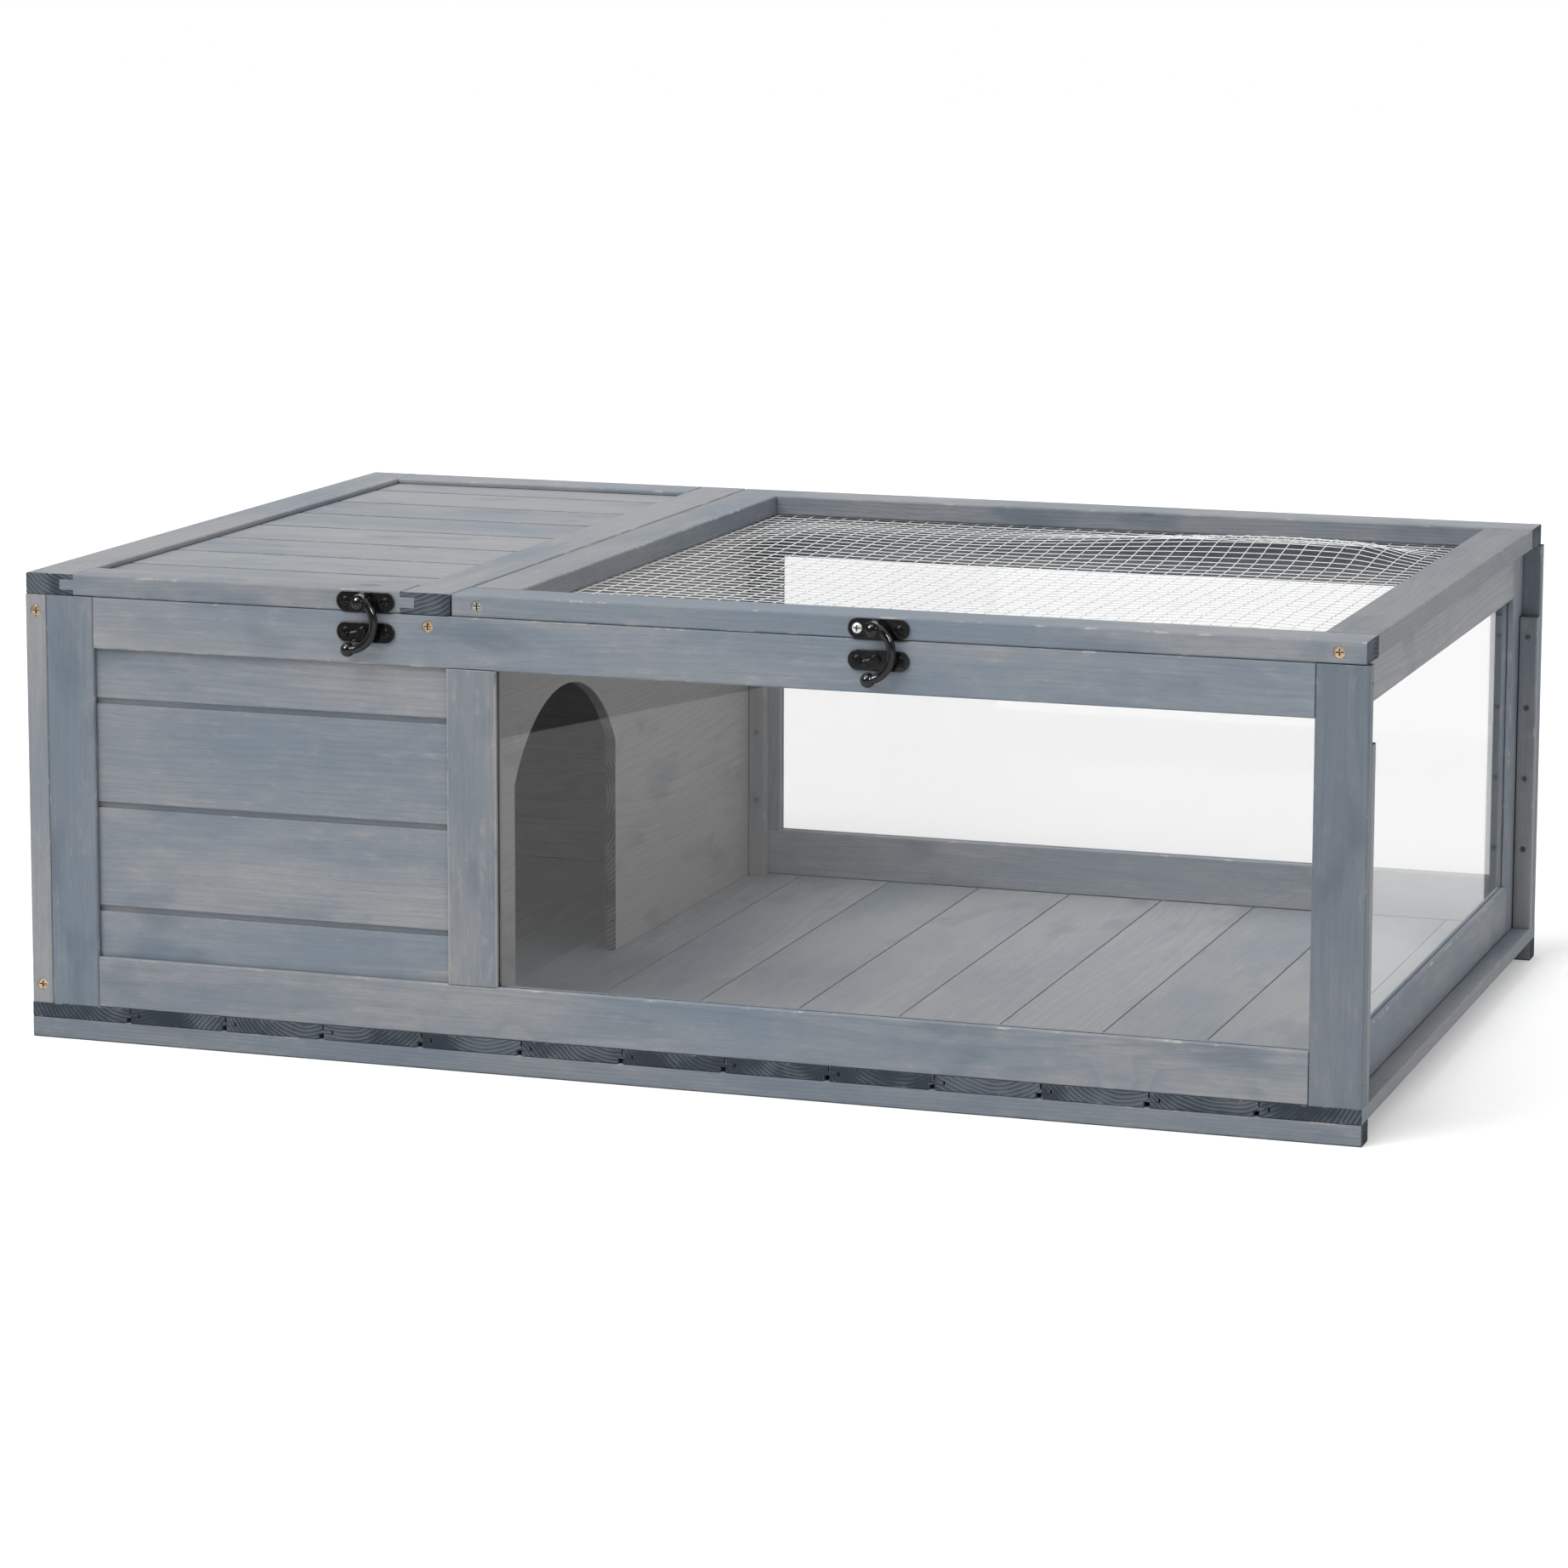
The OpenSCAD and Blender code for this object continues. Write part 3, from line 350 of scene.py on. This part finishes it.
# each piece, the way of its grain and of its width, how grey and how light its stain is, and how
# worn, where that isn't 1
FRAME = (
    ("front_skid", X, Y, 0.15, 0.815),
    ("rear_skid", X, Y, 0.5, 0.85),
    ("front_left_post", Z, X, 0.1, 0.91),
    ("front_middle_post", Z, X, 0.7, 0.89, 2.6),
    ("front_right_post", Z, X, 0.05, 0.77),
    ("front_top_rail", X, Z, 0.52, 1.0),
    ("front_bottom_rail", X, Z, 0.4, 0.9),
    ("rear_left_post", Z, X, 0.5, 1.0),
    ("rear_middle_post", Z, X, 0.7, 0.9),
    ("rear_right_post", Z, X, 0.2, 0.8),
    ("rear_top_rail", X, Z, 0.5, 1.0),
    ("rear_bottom_rail", X, Z, 0.5, 1.0),
    ("left_front_stile", Z, Y, 0.9, 1.0),
    ("left_rear_stile", Z, Y, 0.6, 1.0),
    ("left_top_rail", Y, Z, 0.4, 1.0),
    ("left_bottom_rail", Y, Z, 0.5, 1.0),
    ("right_front_stile", Z, Y, 0.3, 0.9),
    ("right_rear_stile", Z, Y, 0.3, 0.9),
    ("right_top_rail", Y, Z, 0.6, 0.95),
    ("right_bottom_rail", Y, Z, 0.4, 0.95),
    ("front_corner_batten", Z, X, 0.5, 0.9),
    ("rear_corner_batten", Z, X, 0.6, 0.85),
)
for piece in FRAME:
    timber(*piece)

# ---- Boards ----
# Tongue-and-groove boards fill the floor, the night room's walls and the roof lid. They are of the
# same fir with the same stain; the floor's boards end in dark end grain above the front skid.
BOARD_PITCH = 0.0695
FIRST_FLOOR_BOARD, FIRST_WALL_BOARD = 0.0715, 0.03935
wall_row = (FIRST_WALL_BOARD, BOARD_PITCH)
timber("floor_boards", Y, X, 0.65, 0.95, row=(FIRST_FLOOR_BOARD, BOARD_PITCH))
timber("front_wall_boards", X, Z, 0.52, 0.97, row=wall_row)
timber("rear_wall_boards", X, Z, 0.55, 1.0, row=wall_row)
timber("left_wall_boards", Y, Z, 0.55, 1.0, row=wall_row)

# ---- Divider ----
# A plain softwood panel with a round-headed doorway parts the night room from the run. It stands
# between screwed battens; a flat beam over it carries the ends of the two lids.
timber("divider", Y, Z, 1.1, 1.03, warmth=0.06)
timber("divider_battens", Z, X, 0.9, 0.9, warmth=0.04)
timber("centre_beam", Y, X, 0.5, 0.9)

# ---- Lids ----
# Both lids are frames of 34 mm fir, 14 mm thick, bridle-jointed on the roof lid and butted on the
# mesh lid; the roof lid is filled with boards let into its frame.
FIRST_ROOF_BOARD = 0.05885
timber("roof_left_stile", Y, X, 0.65, 0.93)
timber("roof_right_stile", Y, X, 0.7, 0.96)
timber("roof_front_rail", X, Y, 0.6, 0.92)
timber("roof_rear_rail", X, Y, 0.5, 1.0)
timber("roof_boards", X, Y, 0.75, 1.0, row=(FIRST_ROOF_BOARD, BOARD_PITCH))
timber("mesh_left_stile", Y, X, 0.65, 0.9)
timber("mesh_right_stile", Y, X, 0.5, 0.72)
timber("mesh_front_rail", X, Y, 0.4, 0.98)
timber("mesh_rear_rail", X, Y, 0.25, 0.94)

# ---- Windows ----
# Three sheets of clear acrylic, 2.5 mm thick, sit in grooves in the rails and posts round the run.
# Light falls through them into the run.
CLEAR_ACRYLIC = (0.98, 0.98, 0.98, 1)
ACRYLIC_SHADOW = (0.935, 0.935, 0.935, 1)
ACRYLIC_IOR = 1.49
ACRYLIC_HAZE = 0.008
material, tree, shader = new_finish("clear_acrylic")
shader.inputs["Base Color"].default_value = CLEAR_ACRYLIC
shader.inputs["Transmission Weight"].default_value = 1.0
shader.inputs["IOR"].default_value = ACRYLIC_IOR
here = put(tree, "TexCoord").outputs["Object"]
dust = clouds(tree, here, (9, 9, 9), 5.0, 0.7)[0]
smear = clouds(tree, here, (160, 160, 60))[0]
haze = sum_up(tree, "MULTIPLY", ramp(tree, dust, 0.45, 0.8), ramp(tree, smear, 0.35, 0.8))
tree.links.new(sum_up(tree, "MULTIPLY", haze, ACRYLIC_HAZE), shader.inputs["Roughness"])
clear = put(tree, "BsdfTransparent", {"Color": ACRYLIC_SHADOW}).outputs[0]
shadow = put(tree, "LightPath").outputs["Is Shadow Ray"]
mixed = put(tree, "MixShader", {0: shadow, 1: shader.outputs[0], 2: clear}).outputs[0]
tree.links.new(mixed, tree.nodes["Material Output"].inputs["Surface"])
for pane in ("front_window_pane", "rear_window_pane", "side_window_pane"):
    nodes[pane].data.materials.clear()
    nodes[pane].data.materials.append(material)

# ---- Wire mesh ----
# Welded mesh of thin galvanised wire at 12.7 mm, stapled under the mesh lid. The wires wander a
# little, and the sheet ripples between the rails, where nothing holds it.
WIRE_RADIUS = 0.00029
MESH_PITCH = 0.0127
WIRE_STRAY = 0.00012
# how far in from its edges the frame holds the sheet flat, and where it may rise fully
HELD_EDGE, FREE_AFTER = 0.027, 0.06
DULL_ZINC, PALE_ZINC = (0.9, 0.9, 0.91, 1), (1, 1, 1, 1)
ZINC_ROUGH, SPANGLE_ROUGH, ZINC_METAL = 0.3, 0.3, 0.05
low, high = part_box("wire_mesh")
MESH_SIZE = high - low
# middle, width each way and height of each swell of the sheet
SWELLS = (
    ((0.285, 0.178), (0.15, 0.055), 0.0115),
    ((0.13, -0.02), (0.16, 0.13), -0.0025),
    ((-0.06, 0.15), (0.09, 0.07), 0.0032),
    ((0.02, -0.2), (0.14, 0.06), 0.0018),
    ((0.33, -0.12), (0.09, 0.1), 0.003),
)


def swell(x, y):
    """How far the sheet stands up between the rails at one place."""
    free = 1.0
    for gap in (x - low.x, high.x - x, y - low.y, high.y - y):
        share = min(max((gap - HELD_EDGE) / FREE_AFTER, 0.0), 1.0)
        free *= share * share * (3 - 2 * share)
    return free * sum(
        height * math.exp(-(((x - at[0]) / wide[0]) ** 2) - ((y - at[1]) / wide[1]) ** 2)
        for at, wide, height in SWELLS
    )


def wire_places(room):
    """Where the wires of one direction stand in a room of that width."""
    count = int((room - 2 * WIRE_RADIUS) / MESH_PITCH) + 1
    start = (room - 2 * WIRE_RADIUS - (count - 1) * MESH_PITCH) / 2 + WIRE_RADIUS
    return [start + i * MESH_PITCH for i in range(count)]


curve = bpy.data.curves.new("welded_mesh", "CURVE")
curve.dimensions = "3D"
curve.bevel_depth = WIRE_RADIUS
curve.bevel_resolution = 1
curve.use_fill_caps = True
stray = random.Random(11)
columns, rows = wire_places(MESH_SIZE.x), wire_places(MESH_SIZE.y)
crossings = [(i, j) for i in range(len(columns)) for j in range(len(rows))]
nudge_x = {crossing: stray.uniform(-WIRE_STRAY, WIRE_STRAY) for crossing in crossings}
nudge_y = {crossing: stray.uniform(-WIRE_STRAY, WIRE_STRAY) for crossing in crossings}
top = high.z - WIRE_RADIUS


def draw_wire(points):
    """One wire through its points."""
    line = curve.splines.new("POLY")
    line.points.add(len(points) - 1)
    for spot, point in zip(line.points, points):
        spot.co = (*point, 1)


for i, x in enumerate(columns):
    line = [(low.x + x, low.y, top)]
    for j, y in enumerate(rows):
        px, py = low.x + x + nudge_x[i, j], low.y + y
        line.append((px, py, top + swell(px, py)))
    draw_wire(line + [(low.x + x, high.y, top)])
for j, y in enumerate(rows):
    line = [(low.x, low.y + y, top - 2 * WIRE_RADIUS)]
    for i, x in enumerate(columns):
        px, py = low.x + x, low.y + y + nudge_y[i, j]
        line.append((px, py, top - 2 * WIRE_RADIUS + swell(px, py)))
    draw_wire(line + [(high.x, low.y + y, top - 2 * WIRE_RADIUS)])
mesh_sheet = bpy.data.objects.new("welded_mesh_sheet", curve)
bpy.context.scene.collection.objects.link(mesh_sheet)
material, tree, shader = new_finish("galvanised_wire")
here = put(tree, "TexCoord").outputs["Object"]
spangle = clouds(tree, here, (260, 260, 260))[0]
zinc = blend(tree, ramp(tree, spangle, 0.3, 0.6), DULL_ZINC, PALE_ZINC)
tree.links.new(zinc, shader.inputs["Base Color"])
rough = sum_up(tree, "MULTIPLY_ADD", spangle, SPANGLE_ROUGH, ZINC_ROUGH)
tree.links.new(rough, shader.inputs["Roughness"])
shader.inputs["Metallic"].default_value = ZINC_METAL
curve.materials.append(material)
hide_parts("wire_mesh")
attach(mesh_sheet, "mesh_lid")

# ---- Hasps ----
# Each lid is held by a cast swing hook that turns on its own plate and drops behind the stud of a
# second plate on the wall below. All of it is dipped in gloss black enamel.
BLACK = (0.003, 0.003, 0.0035, 1)
BLACK_SHEEN = (0.007, 0.007, 0.008, 1)
# the roughness of the enamel, and what its runs add to it
ENAMEL_ROUGH, RUNS_ROUGH = 0.06, 0.14
ENAMEL_EDGE = 0.0008
ENAMEL_COAT, COAT_ROUGH, ENAMEL_GLOSS = 0.4, 0.03, 0.3
RUNS_DEPTH, RUNS_RELIEF = 0.0003, 0.3


def dress(pieces, material):
    """Gives CAD pieces one finish."""
    for piece in pieces:
        nodes[piece].data.materials.clear()
        nodes[piece].data.materials.append(material)


material, tree, shader = new_finish("black_enamel")
here = put(tree, "TexCoord").outputs["Object"]
flow = clouds(tree, here, (300, 300, 300))[0]
edge = use_effect(tree, soft_edge, {"Radius": ENAMEL_EDGE})
dull = blend(tree, ramp(tree, flow, 0.4, 0.7), BLACK, BLACK_SHEEN)
tree.links.new(dull, shader.inputs["Base Color"])
rough = sum_up(tree, "MULTIPLY_ADD", flow, RUNS_ROUGH, ENAMEL_ROUGH)
tree.links.new(rough, shader.inputs["Roughness"])
wires = {"Strength": RUNS_RELIEF, "Distance": RUNS_DEPTH}
wires |= {"Height": flow, "Normal": edge["Normal"]}
tree.links.new(put(tree, "Bump", wires).outputs[0], shader.inputs["Normal"])
shader.inputs["Specular IOR Level"].default_value = ENAMEL_GLOSS
shader.inputs["Coat Weight"].default_value = ENAMEL_COAT
shader.inputs["Coat Roughness"].default_value = COAT_ROUGH
plates = ["roof_catch_plate", "mesh_catch_plate", "roof_hasp_plate", "mesh_hasp_plate"]
dress(plates + ["roof_hook", "mesh_hook"], material)

# ---- Hinges and screws ----
# Plain butt hinges of zinc-plated steel carry the lids at the back, with screws of the same. The
# frame's cross-head screws are yellow-plated, but for a greenish one, the battens' are brushed
# over with the stain, and the hasps' are blackened, but for a bright one.
BRIGHT_ZINC = ((0.72, 0.73, 0.74, 1), (0.45, 0.46, 0.47, 1))
YELLOW_ZINC = ((0.78, 0.58, 0.4, 1), (0.42, 0.28, 0.16, 1))
GREEN_ZINC = ((0.55, 0.56, 0.48, 1), (0.3, 0.31, 0.25, 1))
STAINED_ZINC = ((0.16, 0.18, 0.2, 1), (0.08, 0.09, 0.1, 1))
POLISHED_ZINC = ((0.95, 0.95, 0.95, 1), (0.85, 0.85, 0.86, 1))
BRIGHT_SCREW = (0.1254, -0.289, 0.3048)
GREEN_SCREW = (-0.1325, -0.287, 0.305)
SCREW_REACH = 0.008
CROSS_REACH, CROSS_DEPTH = 0.0023, 0.00008
# painted shade in the bright screw's cross recess
PAINTED_CROSS_SHADE = (0.012, 0.011, 0.01, 1)

# Plating: two shades of one metal in small clouds, rubbed bright at the edges, painted shade in
# the recess.
# painted shade for the recesses of the plating
PAINTED_RECESS_SHADE = (0.015, 0.013, 0.012, 1)
EDGE_SHINE, RECESS_DARK = 0.5, 0.95
PLATE_ROUGH, TARNISH_ROUGH = 0.22, 0.2
PLATE_METAL = 0.6
PLATE_EDGE, RECESS_REACH = 0.0004, 0.0022
plating, given, out = new_effect(
    "plating",
    [("Light", COLOUR, None), ("Dark", COLOUR, None), ("Worn", FLOAT, 0.0), ("Painted Shade", FLOAT, 0.0)],
    [("Color", COLOUR), ("Roughness", FLOAT)],
)
t = plating
tarnish = clouds(t, put(t, "TexCoord").outputs["Object"], (420, 420, 420), 3.0)[0]
metal = blend(t, ramp(t, tarnish, 0.35, 0.65), given["Dark"], given["Light"])
metal = blend(t, sum_up(t, "MULTIPLY", given["Worn"], EDGE_SHINE), metal, given["Light"])
# painted shade where the ambient occlusion finds a recess
recess = sum_up(t, "MULTIPLY", ramp(t, given["Painted Shade"], 0.05, 0.6), RECESS_DARK)
t.links.new(blend(t, recess, metal, PAINTED_RECESS_SHADE), out["Color"])
t.links.new(sum_up(t, "MULTIPLY_ADD", tarnish, TARNISH_ROUGH, PLATE_ROUGH), out["Roughness"])


def plate(name, shades, odd=None, odd_shades=None, cross=None):
    """Plated metal; odd masks the screws that are plated otherwise, cross a shallow recess given
    painted shade.
    """
    material, tree, shader = new_finish(name)
    edge = use_effect(tree, soft_edge, {"Radius": PLATE_EDGE, "Reach": RECESS_REACH})
    wires = {"Worn": edge["Worn"], "Painted Shade": edge["Painted Shade"]}
    metal = use_effect(tree, plating, wires | {"Light": shades[0], "Dark": shades[1]})
    colour = metal["Color"]
    if odd:
        other = use_effect(tree, plating, wires | {"Light": odd_shades[0], "Dark": odd_shades[1]})
        colour = blend(tree, odd(tree), colour, other["Color"])
    if cross:
        # painted shade in the cross recess
        colour = blend(tree, cross(tree), colour, PAINTED_CROSS_SHADE)
    tree.links.new(colour, shader.inputs["Base Color"])
    tree.links.new(metal["Roughness"], shader.inputs["Roughness"])
    tree.links.new(edge["Normal"], shader.inputs["Normal"])
    shader.inputs["Metallic"].default_value = PLATE_METAL
    return material


def near(spot):
    """Makes the mask of the screw at one place."""

    def mask(tree):
        here = put(tree, "TexCoord").outputs["Object"]
        away = sum_vector(tree, "LENGTH", sum_vector(tree, "SUBTRACT", here, spot))
        return sum_up(tree, "LESS_THAN", away, SCREW_REACH)

    return mask


def in_cross(tree):
    """A mask of the bright screw's cross recess, from its floor nearly up to the head's face."""
    here = put(tree, "TexCoord").outputs["Object"]
    offset = sum_vector(tree, "SUBTRACT", here, BRIGHT_SCREW)
    beside = sum_vector(tree, "LENGTH", sum_vector(tree, "MULTIPLY", offset, (1, 0, 1)))
    depth = put(tree, "SeparateXYZ", {0: offset}).outputs[1]
    deep = sum_up(tree, "GREATER_THAN", depth, CROSS_DEPTH)
    return sum_up(tree, "MULTIPLY", deep, sum_up(tree, "LESS_THAN", beside, CROSS_REACH))


def at_back(tree):
    """A mask of the screws at the back, which hold the hinges, and of the one bright screw."""
    here = put(tree, "TexCoord").outputs["Object"]
    back = sum_up(tree, "GREATER_THAN", put(tree, "SeparateXYZ", {0: here}).outputs[1], 0.0)
    return sum_up(tree, "MAXIMUM", back, near(BRIGHT_SCREW)(tree))


leaves = ["roof_hinge_body_leaves", "mesh_hinge_body_leaves"]
leaves += ["roof_hinge_lid_leaves", "mesh_hinge_lid_leaves"]
dress(leaves + ["hinge_pins"], plate("bright_zinc", BRIGHT_ZINC))
dress(["frame_screws"], plate("yellow_zinc", YELLOW_ZINC))
dress(["mesh_frame_screws"], plate("lid_screw_zinc", YELLOW_ZINC, near(GREEN_SCREW), GREEN_ZINC))
dress(["batten_screws"], plate("stained_zinc", STAINED_ZINC))
material = plate("fitting_screw_black", (BLACK_SHEEN, BLACK), at_back, POLISHED_ZINC, in_cross)
dress(["body_fitting_screws", "roof_fitting_screws", "mesh_fitting_screws"], material)

# ---- Studio ----
# A pale sweep under the house and an even soft sky, with a broad lamp above the front left. The
# windows, the enamel and the plating mirror a darker room in front, a dark cloth and two strips
# of light.
WHITE, UNLIT = (1, 1, 1, 1), (0, 0, 0, 1)
SWEEP_GREY, CLOTH_GREY = (0.82, 0.82, 0.82, 1), (0.14, 0.14, 0.14, 1)
# light that the camera alone sees on the sweep, so that it stays white round the house
SWEEP_LIFT = 0.25
SWEEP = [(-12, -12, 0), (12, -12, 0), (12, 12, 0), (-12, 12, 0)]
CLOTH = [(-3, -1, 0.001), (-3, -6, 0.001), (1.13, -6, 0.001), (-0.75, -1, 0.001)]
STRIPS = {
    "left": [(-1.9, -2.2, 1.5), (-1.1, -2.6, 1.5), (-1.1, -2.3, 2.2), (-1.9, -1.9, 2.2)],
    "right": [(2.1, -2.2, 1.3), (2.5, -1.8, 1.3), (2.4, -1.7, 2.3), (2.0, -2.1, 2.3)],
}
STRIP_LIGHT = 40
# the sky as the house is lit by it and as the camera sees it, and the dark of the room in front
SKY_LIGHT, SKY_SEEN, ROOM_DARK = 0.7, 1.0, 0.17
LAMP_LIGHT, LAMP_WIDTH, LAMP_FROM = 1.9, 40, (-0.35, -0.6, 1.0)
EYE, EYE_TURN = (1.0827, -3.2699, 0.7825), (81.333, -0.1535, 18.6536)


def lay_sheet(name, corners):
    """A flat stage piece through its corners, with its material's tree and shader."""
    sheet = bmesh.new()
    sheet.faces.new([sheet.verts.new(corner) for corner in corners])
    mesh = bpy.data.meshes.new(name)
    sheet.to_mesh(mesh)
    sheet.free()
    piece = bpy.data.objects.new(name, mesh)
    bpy.context.scene.collection.objects.link(piece)
    material, tree, shader = new_finish(name)
    mesh.materials.append(material)
    return piece, tree, shader


def straight_rays(tree):
    """1 for rays that no matt surface has scattered, and 1 for those of them that a gloss has
    turned round."""
    ray = put(tree, "LightPath").outputs
    straight = sum_up(tree, "LESS_THAN", ray["Diffuse Depth"], 0.5)
    mirrored = sum_up(tree, "GREATER_THAN", ray["Glossy Depth"], 0.5)
    return straight, sum_up(tree, "MULTIPLY", straight, mirrored), ray


def mirror_only(piece, tree, shader):
    """Shows a stage piece in reflections alone."""
    clear = put(tree, "BsdfTransparent").outputs[0]
    mirrored = straight_rays(tree)[1]
    mixed = put(tree, "MixShader", {0: mirrored, 1: clear, 2: shader.outputs[0]}).outputs[0]
    tree.links.new(mixed, tree.nodes["Material Output"].inputs["Surface"])
    piece.visible_camera = piece.visible_diffuse = piece.visible_shadow = False


_, tree, shader = lay_sheet("pale_sweep", SWEEP)
shader.inputs["Base Color"].default_value = SWEEP_GREY
shader.inputs["Roughness"].default_value = 0.9
shader.inputs["Specular IOR Level"].default_value = 0.0
seen = straight_rays(tree)[2]["Is Camera Ray"]
tree.links.new(sum_up(tree, "MULTIPLY", seen, SWEEP_LIFT), shader.inputs["Emission Strength"])
shader.inputs["Emission Color"].default_value = WHITE

cloth, tree, shader = lay_sheet("dark_cloth", CLOTH)
shader.inputs["Base Color"].default_value = CLOTH_GREY
shader.inputs["Roughness"].default_value = 1.0
mirror_only(cloth, tree, shader)

for side, corners in STRIPS.items():
    strip, tree, shader = lay_sheet(side + "_strip_light", corners)
    shader.inputs["Base Color"].default_value = UNLIT
    shader.inputs["Emission Color"].default_value = WHITE
    shader.inputs["Emission Strength"].default_value = STRIP_LIGHT
    mirror_only(strip, tree, shader)

world = bpy.data.worlds.new("soft_sky")
bpy.context.scene.world = world
world.use_nodes = True
tree = world.node_tree
away = put(tree, "SeparateXYZ", {0: put(tree, "TexCoord").outputs["Generated"]}).outputs
room = sum_up(tree, "MAXIMUM", ramp(tree, away[1], -0.35, 0.05), ramp(tree, away[2], 0.6, 0.85))
room = sum_up(tree, "MULTIPLY_ADD", room, 1 - ROOM_DARK, ROOM_DARK)
straight, mirrored, ray = straight_rays(tree)
seen = sum_up(tree, "MAXIMUM", ray["Is Camera Ray"], ray["Is Transmission Ray"])
seen = sum_up(tree, "MULTIPLY", seen, straight)
soft = put(tree, "Mix", {0: seen, 2: SKY_LIGHT, 3: SKY_SEEN}).outputs[0]
light = put(tree, "Mix", {0: mirrored, 2: soft, 3: room}).outputs[0]
sky = tree.nodes["Background"]
sky.inputs["Color"].default_value = WHITE
tree.links.new(light, sky.inputs["Strength"])

lamp = bpy.data.lights.new("broad_lamp", "SUN")
lamp.energy = LAMP_LIGHT
lamp.angle = math.radians(LAMP_WIDTH)
lamp_object = bpy.data.objects.new("broad_lamp", lamp)
lamp_object.rotation_euler = Vector(LAMP_FROM).to_track_quat("Z", "Y").to_euler()
bpy.context.scene.collection.objects.link(lamp_object)

camera = bpy.data.cameras.new("camera")
camera.lens = 116.96
camera.sensor_width = 36
camera.shift_y = -0.1
camera.clip_end = 50
camera_object = bpy.data.objects.new("camera", camera)
camera_object.location = EYE
camera_object.rotation_euler = [math.radians(angle) for angle in EYE_TURN]
bpy.context.scene.collection.objects.link(camera_object)
bpy.context.scene.camera = camera_object
bpy.context.scene.view_settings.view_transform = "Standard"
